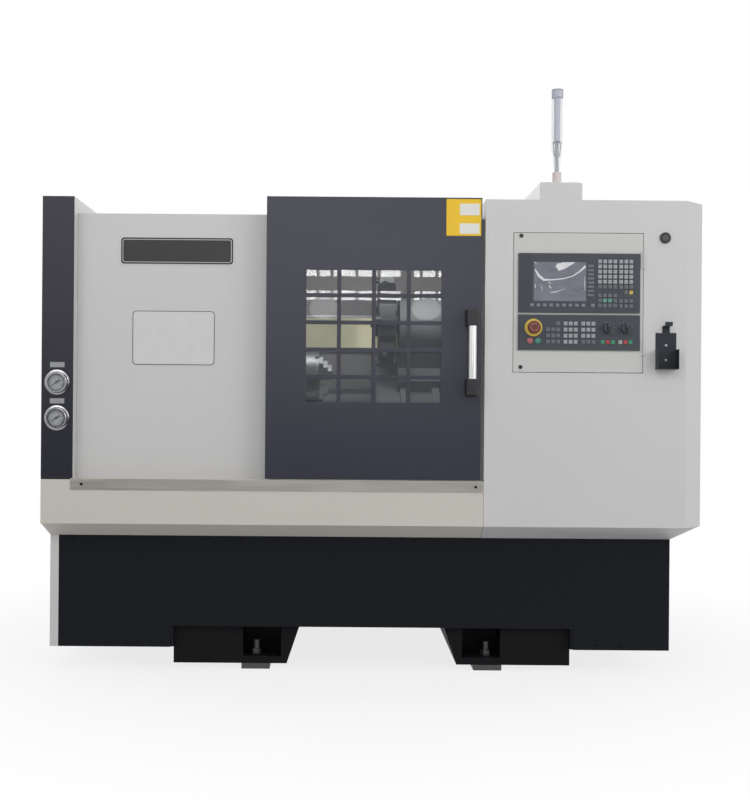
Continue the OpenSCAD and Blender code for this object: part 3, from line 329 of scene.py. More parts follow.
bm = bmesh.new()
for low_z, high_z in WINDOW_ROWS:
    for left, right in zip(WINDOW_BARS, WINDOW_BARS[1:]):
        if (left, right) in WINDOW_GAPS:
            continue
        place = ((left + right) / 2, HALL_Y, (low_z + high_z) / 2)
        card = upright_card(place, right - left - BAR_WIDE, high_z - low_z)
        bmesh.ops.create_grid(bm, x_segments=1, y_segments=1, size=1, matrix=card)
stage_light("hall_windows", bm, WINDOW_GLOW)

bm = bmesh.new()
for x in ROUND_XS:
    card = upright_card((x, HALL_Y, ROUND_Z), *ROUND_SIZE)
    bmesh.ops.create_circle(bm, cap_ends=True, segments=28, radius=1, matrix=card)
stage_light("round_lights", bm, ROUND_GLOW)

bm = bmesh.new()
card = upright_card((0, FLAG_Y, FLAG_TALL / 2), FLAG_WIDE, FLAG_TALL)
bmesh.ops.create_grid(bm, x_segments=1, y_segments=1, size=1, matrix=card)
flag = stage_light("dark_flag", bm, 0)
for rays in ("camera", "diffuse", "transmission", "shadow"):
    setattr(flag, "visible_" + rays, False)
print("window lights at", HALL_Y, "m")

# %% [markdown]
# ## Finishes
# Enamel on sheet steel is never one flat colour: the tone drifts slowly, sprayed
# paint has a fine orange peel, and the rounded edges are rubbed a little paler. The
# rubbed edge reads the attribute `worn`, which the rounding step further down writes.
# Bare metals get streaks along their grinding or rolling direction instead.

# %% Finishes
def enamel(name, colour, roughness=0.42, peel=0.12, drift=0.035, rub=1.25, gloss=0.5):
    finish = Finish(name)
    finish.set(Specular_IOR_Level=gloss)
    slow = finish.noise(1.7, 4)
    fine = finish.noise(60, 2)
    tone = 0.75 * slow + 0.25 * fine
    edge = finish.node("ShaderNodeAttribute", {"attribute_name": "worn"}, out="Fac")
    rubbed = edge * finish.ramp(finish.noise(38, 3), 0.42, 0.62)
    body = finish.blend(tone, shade(colour, 1 - drift), shade(colour, 1 + drift))
    finish.set(
        Base_Color=finish.blend(0.6 * rubbed, body, shade(colour, rub)),
        Roughness=roughness - 0.05 + 0.10 * slow + 0.06 * fine,
        Normal=finish.bump(finish.noise(380, 2), peel, 0.0006),
    )
    return finish.material


def streaked_metal(name, colour, roughness, stretch, contrast=0.18, grain=0.2):
    finish = Finish(name)
    streak = finish.noise(1.0, 3, stretch)
    cloud = finish.noise(6, 3)
    tone = 0.7 * streak + 0.3 * cloud
    finish.set(
        Base_Color=finish.blend(tone, shade(colour, 1 - contrast), shade(colour, 1 + contrast)),
        Roughness=roughness - 0.08 + 0.16 * streak + 0.06 * cloud,
        Normal=finish.bump(streak, grain, 0.0004),
        Metallic=1.0,
    )
    return finish.material


def moulded(name, colour, roughness=0.5, grain=0.25, drift=0.06):
    finish = Finish(name)
    pores = finish.noise(900, 2)
    slow = finish.noise(9, 3)
    finish.set(
        Base_Color=finish.blend(slow, shade(colour, 1 - drift), shade(colour, 1 + drift)),
        Roughness=roughness - 0.06 + 0.12 * pores,
        Normal=finish.bump(pores, grain, 0.0003),
    )
    return finish.material


def clear_sheet(name, tint, roughness, alpha):
    finish = Finish(name)
    film = finish.noise(7, 3)
    finish.set(
        Base_Color=(*tint, 1),
        Roughness=roughness + 0.01 * film,
        Alpha=alpha - 0.03 + 0.06 * film,
        IOR=1.5,
    )
    return finish.material


print("finish recipes: enamel, streaked metal, moulded plastic and clear sheet")

# %% Table of finishes
COVER_GREY = srgb(201, 200, 199)
APRON_GREY = srgb(200, 196, 187)
DOOR_BLUE = srgb(43, 44, 58)
COLUMN_BLUE = srgb(32, 33, 44)
BASE_BLACK = srgb(20, 23, 28)

# Each row holds what its function takes after the name, in the same order.
ENAMELS = {
    "cover_paint": (COVER_GREY,),
    "apron_paint": (APRON_GREY,),
    "door_paint": (DOOR_BLUE, 0.34, 0.22, 0.05, 1.9, 0.5),
    "column_paint": (COLUMN_BLUE, 0.32, 0.18, 0.05, 1.9, 0.45),
    "base_paint": (BASE_BLACK, 0.44, 0.25, 0.08, 2.2, 0.12),
    "casting": (srgb(16, 16, 19), 0.55, 0.8, 0.12, 2.2, 0.12),
    "machine_paint": (srgb(150, 156, 156), 0.45, 0.5, 0.06, 1.2),
    "motor_paint": (srgb(42, 45, 50), 0.42, 0.4, 0.08, 1.9),
    "panel_paint": (srgb(196, 196, 193), 0.46, 0.3, 0.02, 1.1),
    "black_sheet": (srgb(42, 46, 52), 0.48, 0.5, 0.08, 2.2, 0.25),
    "lamp_post": (srgb(176, 178, 190), 0.35, 0.1, 0.03, 1.1),
    "lamp_sleeve": (srgb(208, 196, 194), 0.4, 0.1, 0.03, 1.1),
}
METALS = {
    "ground_steel": ((0.46, 0.47, 0.48), 0.42, (6, 160, 160)),
    "strip_steel": ((0.60, 0.57, 0.52), 0.34, (5, 260, 260), 0.22),
    "zinc_steel": ((0.46, 0.47, 0.48), 0.38, (40, 40, 40), 0.14),
    "dull_zinc": ((0.10, 0.10, 0.105), 0.5, (40, 40, 40), 0.2),
    "oiled_steel": ((0.17, 0.175, 0.18), 0.44, (60, 60, 60), 0.2),
    "aluminium": ((0.72, 0.73, 0.73), 0.32, (220, 220, 8), 0.08),
    "chrome": ((0.36, 0.365, 0.38), 0.22, (30, 30, 30), 0.10, 0.04),
}
PLASTICS = {
    "black_plastic": (srgb(26, 27, 30), 0.42),
    "unit_plastic": (srgb(54, 60, 68), 0.5),
    "keycaps": (srgb(150, 154, 158), 0.48),
    "red_plastic": (srgb(102, 37, 31), 0.36),
    "stop_yellow": (srgb(206, 178, 72), 0.38, 0.1),
    "needle": (srgb(22, 22, 25), 0.5),
    "rubber": (srgb(28, 28, 30), 0.7, 0.5),
}
CLEARS = {
    "glass": ((0.050, 0.056, 0.066), 0.0, 0.34),
    "lens": ((0.80, 0.83, 0.88), 0.02, 0.14),
    "gauge_glass": ((0.50, 0.52, 0.55), 0.02, 0.06),
}
KINDS = ((enamel, ENAMELS), (streaked_metal, METALS), (moulded, PLASTICS), (clear_sheet, CLEARS))
FINISHES = {name: make(name, *row) for make, rows in KINDS for name, row in rows.items()}

SLOT_OF = {row["node"]: row["material_slot"] for row in frame["record"]["subparts"]}
for name, solid in frame["nodes"].items():
    solid.data.materials.clear()
    solid.data.materials.append(FINISHES[SLOT_OF[name]])
print("finishes:", len(FINISHES))

# %% [markdown]
# ## Rounding the solids
# Folded sheet and castings have no razor edges, and the thin bright line along a
# rounded edge is what makes sheet metal read as metal. The solids can't be touched,
# so each one that shows is copied, its triangles are merged back to flat faces, and
# its sharp edges are bevelled. The new bevel faces are marked as worn. Three large
# sides get a shallow pressed panel, and the skirt of the left cover is mitred at its
# front end to meet the apron. Wide flats and narrow bevels share corners, so the corner
# normals are weighted by face area: the flats then shade flat and only the bevels turn.

# %% Rounding
SHARP = math.radians(35)
SMOOTH = math.radians(28)


def finish_piece(name, bm, body, slot, material=None):
    """Turns a bmesh into a piece that rides on a body and takes a finish."""
    mesh = bpy.data.meshes.new(name)
    bm.to_mesh(mesh)
    bm.free()
    for polygon in mesh.polygons:
        polygon.use_smooth = True
    mesh.set_sharp_from_angle(angle=SMOOTH)
    piece = bpy.data.objects.new(name, mesh)
    bpy.context.collection.objects.link(piece)
    mesh.materials.append(material or FINISHES[slot])
    flats = piece.modifiers.new("flat_faces", "WEIGHTED_NORMAL")
    flats.keep_sharp = True
    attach(piece, body)
    return piece


def bevel_edges(bm, edges, radius, segments=3):
    return bmesh.ops.bevel(
        bm, geom=edges, offset=radius, offset_type="OFFSET", segments=segments, profile=0.5,
        affect="EDGES", material=-1, clamp_overlap=True,
    )


def sharp_edges(bm):
    joined = [edge for edge in bm.edges if len(edge.link_faces) == 2]
    return [edge for edge in joined if edge.calc_face_angle(0) > SHARP]


print("edges sharper than", round(math.degrees(SHARP)), "degrees are rounded")

# %% Pressed panels and the mitre
# The way that a pressed side looks, the width of its border and the depth.
RECESSES = {
    "left_end_cover": ((-1, 0, 0), 0.055, 0.0015),
    "operator_cabinet": ((1, 0, 0), 0.055, 0.0015),
    "electrical_door": ((0, 1, 0), 0.050, 0.0030),
}


def faces_at(bm, axis, sign, level):
    """The flat faces that look along one axis at one level."""
    return [
        face for face in bm.faces
        if sign * face.normal[axis] > 0.99 and abs(face.calc_center_median()[axis] - level) < 1e-5
    ]


def press_panel(bm, way, border, depth):
    """Presses a shallow panel into the outermost flat side that looks one way."""
    axis = max(range(3), key=lambda index: abs(way[index]))
    sign = way[axis]
    level = sign * max(sign * vert.co[axis] for vert in bm.verts)
    spots = [vert.co.copy() for face in faces_at(bm, axis, sign, level) for vert in face.verts]
    limits = {
        i: (min(spot[i] for spot in spots) + border, max(spot[i] for spot in spots) - border)
        for i in range(3) if i != axis
    }
    for i, cuts in limits.items():
        plane = Vector([1.0 if index == i else 0.0 for index in range(3)])
        for cut in cuts:
            side = faces_at(bm, axis, sign, level)
            edges = {edge for face in side for edge in face.edges}
            verts = {vert for face in side for vert in face.verts}
            geom = [*verts, *edges, *side]
            bmesh.ops.bisect_plane(bm, geom=geom, plane_co=plane * cut, plane_no=plane)
    inner = [
        face for face in faces_at(bm, axis, sign, level)
        if all(low < face.calc_center_median()[i] < high for i, (low, high) in limits.items())
    ]
    bmesh.ops.inset_region(
        bm, faces=inner, thickness=depth, depth=-depth, use_even_offset=True, use_boundary=True,
    )


SKIRT_DEEP, SKIRT_TALL = 0.072, 0.048
MITRE_AT = Vector((0, -0.696, 0.520))
MITRE_WAY = Vector((0, SKIRT_DEEP, -SKIRT_TALL)).cross(Vector((1, 0, 0)))
MITRES = {"left_end_cover": (MITRE_AT, MITRE_WAY)}


def cut_mitre(bm, point, way):
    """Cuts off what lies past a slanted plane and closes the cut."""
    geom = [*bm.verts, *bm.edges, *bm.faces]
    cut = bmesh.ops.bisect_plane(bm, geom=geom, plane_co=point, plane_no=way, clear_outer=True)
    rim = [item for item in cut["geom_cut"] if isinstance(item, bmesh.types.BMEdge)]
    bmesh.ops.holes_fill(bm, edges=rim)


print("pressed panels:", len(RECESSES), "and mitred ends:", len(MITRES))

# %% Rounded copies
BODY_OF = {
    name: body for body, names in frame["record"]["behaviour"]["bodies"].items() for name in names
}


def rounded(node, radius):
    """A copy of a solid with small radii on its edges, standing in for it."""
    bm = bmesh.new()
    bm.from_mesh(frame["nodes"][node].data)
    bmesh.ops.remove_doubles(bm, verts=bm.verts, dist=1e-6)
    bmesh.ops.dissolve_limit(bm, angle_limit=math.radians(0.4), verts=bm.verts, edges=bm.edges)
    if node in RECESSES:
        press_panel(bm, *RECESSES[node])
    if node in MITRES:
        cut_mitre(bm, *MITRES[node])
    worn = bm.faces.layers.float.new("worn")
    made = bevel_edges(bm, sharp_edges(bm), radius)
    for face in made["faces"]:
        face[worn] = 1.0
    piece = finish_piece(node + "_rounded", bm, BODY_OF[node], SLOT_OF[node])
    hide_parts(node)
    return piece


SHEETS = {
    "door_panel": 0.0010, "operator_cabinet": 0.0012, "apron": 0.0012, "fixed_front_panel": 0.0012,
    "left_end_cover": 0.0012, "gauge_panel": 0.0010, "base_cover": 0.0012, "left_lower_panel": 0.0012,
    "roof_panel": 0.0012, "rear_panel": 0.0012, "panel_plate": 0.0008, "sill_strip": 0.0006,
    "pendant_holder": 0.0007, "inner_guard": 0.0010,
}
CASTINGS = {
    "base_casting": 0.006, "headstock": 0.006, "slant_bed": 0.005, "cross_slide": 0.004,
    "tailstock": 0.005, "saddle": 0.003, "spindle_motor": 0.004, "hydraulic_unit": 0.005,
    "coolant_tank": 0.002, "electrical_cabinet": 0.004, "electrical_door": 0.004,
    "lamp_bracket": 0.004, "door_hangers": 0.0015,
    "display_unit": 0.0015, "control_unit": 0.0012, "door_handle": 0.003, "tool_holders": 0.0012,
    "turret_disc": 0.002, "jaw_1": 0.0010, "jaw_2": 0.0010, "jaw_3": 0.0010, "chuck": 0.0015,
    "estop_button": 0.003, "feed_knob": 0.0012, "speed_knob": 0.0012, "levelling_feet": 0.0012,
    "x_servo_motor": 0.003, "z_servo_motor": 0.003, "door_rail": 0.001, "key_lock": 0.0010,
}
PIECES = {node: rounded(node, radius) for node, radius in {**SHEETS, **CASTINGS}.items()}

OWN_FINISH = {
    "levelling_feet": "dull_zinc", "lock_barrel": "dull_zinc", "turret_disc": "oiled_steel",
    "tool_holders": "oiled_steel", "gauge_lenses": "gauge_glass",
}
for node, finish in OWN_FINISH.items():
    PIECES.get(node, frame["nodes"][node]).data.materials[0] = FINISHES[finish]
print("rounded copies:", len(PIECES))

# %% [markdown]
# ## Small builders
# Most trim is one of three things: a thin plate with round corners, a turned part, or
# a screw. A plate is a cube whose upright edges are bevelled wide and whose rim is
# bevelled fine. A turned part is a profile spun about the line to the operator.

# %% Builders for trim
# The Y of the front of the covers, of the fixed panel and of the base cover.
FRONT, FIXED, BASE_FRONT = (
    round(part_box(node)[0].y, 4) for node in ("door_panel", "fixed_front_panel", "base_cover")
)


def slab(bm, low, high):
    """A box between two corners; returns its vertices."""
    low, high = Vector(low), Vector(high)
    place = Matrix.Translation((low + high) / 2) @ Matrix.Diagonal((*(high - low), 1))
    return bmesh.ops.create_cube(bm, size=1, matrix=place)["verts"]


def edges_along(verts, axis):
    """The edges of a box that run along one axis."""
    found = {edge for vert in verts for edge in vert.link_edges}
    other = [index for index in range(3) if index != axis]
    return [
        edge for edge in found
        if all(abs(edge.verts[0].co[i] - edge.verts[1].co[i]) < 1e-7 for i in other)
    ]


def front_plate(bm, low, high, corner, rim):
    """A plate that faces the operator: round corners, and a fine bevel on its front rim."""
    bevel_edges(bm, edges_along(slab(bm, low, high), 1), corner, 6)
    near = 1e-6
    flat = [
        face for face in bm.faces
        if face.normal.y < -0.9 and abs(face.calc_center_median().y - low[1]) < near
        and low[0] - near <= face.calc_center_median().x <= high[0] + near
        and low[2] - near <= face.calc_center_median().z <= high[2] + near
    ]
    for face in flat:
        bevel_edges(bm, list(face.edges), rim, 2)


def folded_plates(name, boxes, axis, radius, slot):
    """Fixed plates between (low, high) corners, rounded along one axis."""
    bm = bmesh.new()
    for low, high in boxes:
        bevel_edges(bm, edges_along(slab(bm, low, high), axis), radius, 2)
    return finish_piece(name, bm, "frame", slot)


def spun(bm, points, centre, axis, steps):
    """Spins a line of points about an axis through centre."""
    line = [bm.verts.new(point) for point in points]
    edges = [bm.edges.new(pair) for pair in zip(line, line[1:])]
    bmesh.ops.spin(
        bm, geom=line + edges, cent=centre, axis=axis, angle=math.tau, steps=steps, use_merge=True,
    )


def turned(bm, centre, profile, steps):
    """Spins (radius, forward) points about the line through centre towards the operator."""
    x, y, z = centre
    points = [(x + radius, y - forward, z) for radius, forward in profile]
    spun(bm, points, (x, y, z), (0, 1, 0), steps)


def close_up(bm):
    bmesh.ops.remove_doubles(bm, verts=bm.verts, dist=1e-7)
    bmesh.ops.recalc_face_normals(bm, faces=bm.faces)


def turned_piece(name, centres, profile, steps, body, slot, material=None):
    """One piece with the same turned shape at each centre."""
    bm = bmesh.new()
    for centre in centres:
        turned(bm, centre, profile, steps)
    close_up(bm)
    return finish_piece(name, bm, body, slot, material)


def screw_heads(name, places, radius, body, slot, height=0.0025):
    """Button heads with a hexagon socket, all facing the operator."""
    socket = 0.45 * radius
    profile = [
        (0, 0), (radius, 0), (radius, 0.3 * height), (0.86 * radius, 0.75 * height),
        (0.6 * radius, height), (socket, height), (socket, 0.4 * height), (0, 0.4 * height),
    ]
    return turned_piece(name, places, profile, 12, body, slot)


print("fronts of covers, fixed panel and base at", FRONT, FIXED, BASE_FRONT)

# %% [markdown]
# ## Plates and screws on the covers
# The covers carry a dark name plate, a pale notice plate with a thin border, a yellow
# label on the door and a small tag over each gauge. All of them stay bare.

# %% Inks and foils
def print_colour(name, colour, roughness):
    """Printed or anodised foil: one colour, softly clouded, with a faint sheen."""
    finish = Finish(name)
    cloud = finish.noise(30, 3)
    finish.set(
        Base_Color=finish.blend(cloud, shade(colour, 0.94), shade(colour, 1.05)),
        Roughness=roughness - 0.05 + 0.1 * cloud,
    )
    return finish.material


INK_ROWS = {
    "black": (srgb(26, 26, 29), 0.35),
    "pale": (srgb(206, 206, 204), 0.45),
    "grey": (srgb(120, 122, 126), 0.45),
    "tag": (srgb(152, 153, 157), 0.4),
    "yellow": (srgb(232, 190, 30), 0.4),
    "white": (srgb(222, 221, 214), 0.45),
}
INK = {name: print_colour("ink_" + name, *row) for name, row in INK_ROWS.items()}


def foil(name, field, y, thick, corner, body, slot, material, rim=0.0004):
    """A thin plate on a front face at y; its field is two (x, z) corners."""
    (left, low), (right, high) = field
    bm = bmesh.new()
    front_plate(bm, (left, y - thick, low), (right, y, high), corner, rim)
    return finish_piece(name, bm, body, slot, material)


def shrunk(field, border):
    """A field with a border taken off all round."""
    low, high = field
    return tuple(part + border for part in low), tuple(part - border for part in high)


print("inks:", len(INK))

# %% Bare plates
NAME_FIELD, NAME_CORNER = ((-0.891, 1.421), (-0.493, 1.519)), 0.012
NAME_LAYERS = ((0.003, 0.0020, "black"), (0.0085, 0.0024, "pale"), (0.0105, 0.0028, "black"))
foil("name_plate_rim", NAME_FIELD, FIXED, 0.0016, NAME_CORNER, "frame", "black_sheet", INK["pale"])
for step, (border, thick, ink) in enumerate(NAME_LAYERS):
    field, corner = shrunk(NAME_FIELD, border), NAME_CORNER - border / 2
    foil("name_plate_%d" % step, field, FIXED, thick, corner, "frame", "black_sheet", INK[ink])

NOTICE_FIELD, NOTICE_BORDER = ((-0.846, 1.071), (-0.559, 1.260)), 0.0022
foil("notice_rim", NOTICE_FIELD, FIXED, 0.0010, 0.014, "frame", "panel_paint", INK["black"])
field = shrunk(NOTICE_FIELD, NOTICE_BORDER)
foil("notice_field", field, FIXED, 0.0014, 0.0125, "frame", "panel_paint", INK["pale"])

LABEL_FIELD = ((0.244, 1.523), (0.364, 1.650))
LABEL_WHITES = (((0.290, 1.530), (0.358, 1.566)), ((0.290, 1.594), (0.358, 1.634)))
foil("door_label", LABEL_FIELD, FRONT, 0.0008, 0.003, "door", "panel_paint", INK["yellow"])
for step, field in enumerate(LABEL_WHITES):
    name = "door_label_field_%d" % step
    foil(name, field, FRONT, 0.0011, 0.002, "door", "panel_paint", INK["white"])

TAG_LEFT, TAG_RIGHT, TAG_ZS, TAG_HALF = -1.120, -1.070, (1.0675, 0.9425), 0.009
for step, z in enumerate(TAG_ZS):
    field = ((TAG_LEFT, z - TAG_HALF), (TAG_RIGHT, z + TAG_HALF))
    foil("gauge_tag_%d" % step, field, FRONT, 0.0010, 0.001, "frame", "aluminium", INK["tag"])

print("name plate:", round(1000 * (NAME_FIELD[1][0] - NAME_FIELD[0][0])), "mm wide")

# %% Screws on the front
SHEET_FRONT = FRONT - 0.002
SCREWS = {
    "base_screws": (BASE_FRONT, 0.006, "casting", (
        (-1.057, 0.460), (-0.463, 0.460), (0.149, 0.460), (0.746, 0.460),
        (-1.090, 0.421), (-1.090, 0.122), (0.789, 0.098), (0.876, 0.098),
    )),
    "strip_screws": (SHEET_FRONT, 0.005, "casting", ((-1.009, 0.656), (0.352, 0.656))),
    "holder_screws": (SHEET_FRONT, 0.0044, "zinc_steel", ((1.0045, 1.150), (1.0045, 1.099))),
}
for name, (y, radius, slot, spots) in SCREWS.items():
    screw_heads(name, [(x, y, z) for x, z in spots], radius, "frame", slot)
print("screw sets:", len(SCREWS))

# %% [markdown]
# ## Pressure gauges
# Each gauge has a pale dial under its lens with a ring of ticks and plain numerals.
# Ticks are thin bars turned about the dial's centre, one shape repeated by angle.

# %% Gauge dials
def repeat(shape, places):
    """One bmesh with a copy of a small shape moved by each of the 4 x 4 places."""
    seed = bpy.data.meshes.new("seed")
    shape.to_mesh(seed)
    shape.free()
    bm = bmesh.new()
    for place in places:
        start = len(bm.verts)
        bm.from_mesh(seed)
        bm.verts.ensure_lookup_table()
        bmesh.ops.transform(bm, matrix=place, verts=bm.verts[start:])
    bpy.data.meshes.remove(seed)
    return bm


def facing(place, angle_deg):
    """Puts a shape drawn round the origin at a place, turned as seen by the operator."""
    return Matrix.Translation(place) @ Matrix.Rotation(-math.radians(angle_deg), 4, "Y")


def around(angle):
    """A step of length 1 at an angle, as seen by the operator."""
    return Vector((math.cos(angle), 0, math.sin(angle)))


GAUGE_LOW, GAUGE_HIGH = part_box("gauge_cases")
GAUGE_X = (GAUGE_LOW.x + GAUGE_HIGH.x) / 2
GAUGE_R = (GAUGE_HIGH.x - GAUGE_LOW.x) / 2
GAUGE_ZS = (GAUGE_HIGH.z - GAUGE_R, GAUGE_LOW.z + GAUGE_R)
DIAL_Y, DIAL_R, DIAL_T = FRONT - 0.008, GAUGE_R - 0.0145, 0.0003
DIAL_START, DIAL_SWEEP = 216, 252
DIAL_PRINT = print_colour("dial_white", srgb(168, 170, 173), 0.4)
TICK_R, TICK_T = DIAL_R - 0.002, 0.0002
TICKS = (("major", 10, 0.0050, 0.0009), ("minor", 50, 0.0028, 0.0004))
NUMERAL_R, NUMERAL_TALL, NUMERAL_T = DIAL_R - 0.0115, 0.0062, 0.0001


def numeral(number, spot):
    """The outline of a number, standing at a spot and facing the operator."""
    text = bpy.data.curves.new("numeral", "FONT")
    text.body = str(number)
    text.size = NUMERAL_TALL
    text.extrude = NUMERAL_T
    text.align_x = "CENTER"
    text.align_y = "CENTER"
    carrier = bpy.data.objects.new("numeral", text)
    bpy.context.collection.objects.link(carrier)
    graph = bpy.context.evaluated_depsgraph_get()
    outline = bpy.data.meshes.new_from_object(carrier.evaluated_get(graph))
    bpy.data.objects.remove(carrier)
    outline.transform(Matrix.Translation(spot) @ Matrix.Rotation(math.radians(90), 4, "X"))
    bm = bmesh.new()
    bm.from_mesh(outline)
    bpy.data.meshes.remove(outline)
    return bm


def dial(step, centre):
    plate = [(0, 0), (DIAL_R, 0), (DIAL_R, DIAL_T), (0, DIAL_T)]
    turned_piece("dial_face_%d" % step, [centre], plate, 48, "frame", "panel_paint", DIAL_PRINT)
    for kind, count, length, width in TICKS:
        tick = bmesh.new()
        slab(tick, (TICK_R - length, -DIAL_T - TICK_T, -width / 2), (TICK_R, -DIAL_T, width / 2))
        angles = [DIAL_START - DIAL_SWEEP * i / count for i in range(count + 1)]
        bm = repeat(tick, [facing(centre, angle) for angle in angles])
        finish_piece("dial_%s_ticks_%d" % (kind, step), bm, "frame", "black_plastic", INK["black"])
    for number in range(0, 11, 2):
        angle = math.radians(DIAL_START - DIAL_SWEEP * number / 10)
        spot = centre + around(angle) * NUMERAL_R - Vector((0, DIAL_T + NUMERAL_T, 0))
        name = "dial_numeral_%d_%d" % (step, number)
        finish_piece(name, numeral(number, spot), "frame", "black_plastic", INK["black"])


print("dial radius:", round(1000 * DIAL_R, 1), "mm")

# %% Gauge rings and bolts
# Inner radius, outer radius and back of the dark rings round and inside the bezel. The
# dark rings are painted shade at the foot of the bezel and on its inner wall.
BEZEL_OUT, BEZEL_IN, RING_T = GAUGE_R - 0.007, GAUGE_R - 0.014, 0.0008
GAUGE_SHADE_RINGS = (
    (BEZEL_OUT + 0.0001, BEZEL_OUT + 0.0016, 0.0058),
    (BEZEL_IN - 0.0017, BEZEL_IN - 0.0001, 0.0161),
)
FLANGE_T, BOLT_R, BOLT_ANGLES = 0.0035, GAUGE_R - 0.0035, (0.9, 3.0, 5.1)


# The dark rings are painted shade at the bezel's foot and on its inner wall.
def rings_and_bolts(step, centre):
    bm = bmesh.new()
    for inner, outer, back in GAUGE_SHADE_RINGS:
        front = back + RING_T
        ring = [(inner, back), (outer, back), (outer, front), (inner, front), (inner, back)]
        turned(bm, (centre.x, FRONT, centre.z), ring, 48)
    close_up(bm)
    finish_piece("gauge_shade_rings_%d" % step, bm, "frame", "rubber")
    bolts = [centre + around(angle) * BOLT_R for angle in BOLT_ANGLES]
    heads = [(bolt.x, FRONT - FLANGE_T, bolt.z) for bolt in bolts]
    screw_heads("gauge_screws_%d" % step, heads, 0.0026, "frame", "zinc_steel", 0.0015)


for step, z in enumerate(GAUGE_ZS):
    dial(step, Vector((GAUGE_X, DIAL_Y, z)))
    rings_and_bolts(step, Vector((GAUGE_X, DIAL_Y, z)))
print("gauges at", [round(z, 3) for z in GAUGE_ZS])

# %% [markdown]
# ## Operator panel
# The display unit has a screen behind a crinkled protective film, soft keys round it
# and a block of keys at the right. The control unit has the emergency stop, two push
# buttons, three key blocks and two override knobs. One keycap, slightly crowned, is
# repeated on the grid of each block, and each colour is one piece.

# %% Key shape
PANEL_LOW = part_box("panel_plate")[0]
UNIT_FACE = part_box("display_unit")[0].y
CAP, KEY_LIFT = (0.013, 0.013), 0.0025


def panel_point(x_mm, z_mm, lift=0.0):
    """A point on the face of the units, in panel millimetres from its lower left corner."""
    return Vector((PANEL_LOW.x + x_mm / 1000, UNIT_FACE - lift, PANEL_LOW.z + z_mm / 1000))


def on_panel(shape, spots):
    """Copies of a small shape at (x mm, z mm) spots on the units."""
    return repeat(shape, [Matrix.Translation(panel_point(*spot)) for spot in spots])


def key_shape(width, tall):
    """One keycap on the origin: a tapered cap with a soft rim."""
    bm = bmesh.new()
    slab(bm, (-width / 2, -KEY_LIFT, -tall / 2), (width / 2, 0, tall / 2))
    top = next(face for face in bm.faces if face.normal.y < -0.9)
    bmesh.ops.scale(bm, vec=(0.90, 1, 0.90), verts=top.verts)
    bevel_edges(bm, edges_along(bm.verts, 1) + list(top.edges), 0.0007, 2)
    return bm


print("unit face at", round(UNIT_FACE, 4))

# %% Key sets
KEY_PITCH, LOW_ROW, ROW_STEP = 17.5, 104.8, 21
LEFT_X, RIGHT_X, SOFT_Z = 295.7, 368.5, 230.8


def block(x, z, across, up, skip=()):
    """Key centres of a block, counted from its lower left key."""
    cells = [(i, j) for j in range(up) for i in range(across) if (i, j) not in skip]
    return [(x + i * KEY_PITCH, z + j * KEY_PITCH) for i, j in cells]


def control_rows(x, rows, skip=()):
    """Key centres of rows of three on the control unit."""
    cells = [(i, j) for j in rows for i in range(3) if (i, j) not in skip]
    return [(x + i * KEY_PITCH, LOW_ROW + ROW_STEP * j) for i, j in cells]


PALE_KEYS = (
    block(LEFT_X, 312.5, 4, 5) + block(RIGHT_X, 312.5, 3, 5)
    + control_rows(178.5, range(4)) + control_rows(239.4, (1, 2, 3))
)
GREY_KEYS = (
    block(LEFT_X, 295, 4, 1) + block(RIGHT_X, 295, 3, 1) + [(386, 276)]
    + block(LEFT_X, 230.5, 4, 3, ((1, 1), (2, 1))) + block(RIGHT_X, 229, 3, 2)
    + control_rows(118, range(4), ((0, 3), (1, 3))) + control_rows(239.4, (0,))
)
SOFT_LOW = [(62 + 22.1 * i, SOFT_Z) for i in range(9)] + [(272, SOFT_Z)]
SOFT_SIDE = [(264, 266 + 14.3 * j) for j in range(8)]
KEY_SETS = {
    "keys_pale": (CAP, srgb(160, 163, 166), PALE_KEYS),
    "keys_grey": (CAP, srgb(98, 102, 106), GREY_KEYS),
    "keys_teal": (CAP, srgb(92, 150, 134), [(313.2, 248), (330.7, 248)]),
    "keys_yellow": (CAP, srgb(196, 172, 84), [(403.7, 276)]),
    "keys_green": (CAP, srgb(60, 140, 104), [(x, LOW_ROW) for x in (307, 342, 402.5)]),
    "keys_red": (CAP, srgb(176, 60, 72), [(x, LOW_ROW) for x in (324.5, 385)]),
    "keys_white": (CAP, srgb(160, 164, 160), [(367.5, LOW_ROW)]),
    "soft_keys_low": ((0.0125, 0.0105), srgb(122, 125, 130), SOFT_LOW),
    "soft_keys_side": ((0.022, 0.010), srgb(100, 103, 106), SOFT_SIDE),
}
for name, (size, colour, spots) in KEY_SETS.items():
    bm = on_panel(key_shape(*size), spots)
    finish = moulded(name, colour, 0.42, 0.15)
    piece = finish_piece(name, bm, "operator_panel", "keycaps", finish)
    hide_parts("panel_keys")

mark = bmesh.new()
slab(mark, (-0.0030, -KEY_LIFT - 0.00025, -0.0006), (0.0030, -KEY_LIFT, 0.0006))
key_mark = print_colour("key_mark", srgb(104, 108, 112), 0.5)
finish_piece("key_marks", on_panel(mark, PALE_KEYS + GREY_KEYS), "operator_panel", "keycaps", key_mark)
print("keys:", sum(len(spots) for size, colour, spots in KEY_SETS.values()))
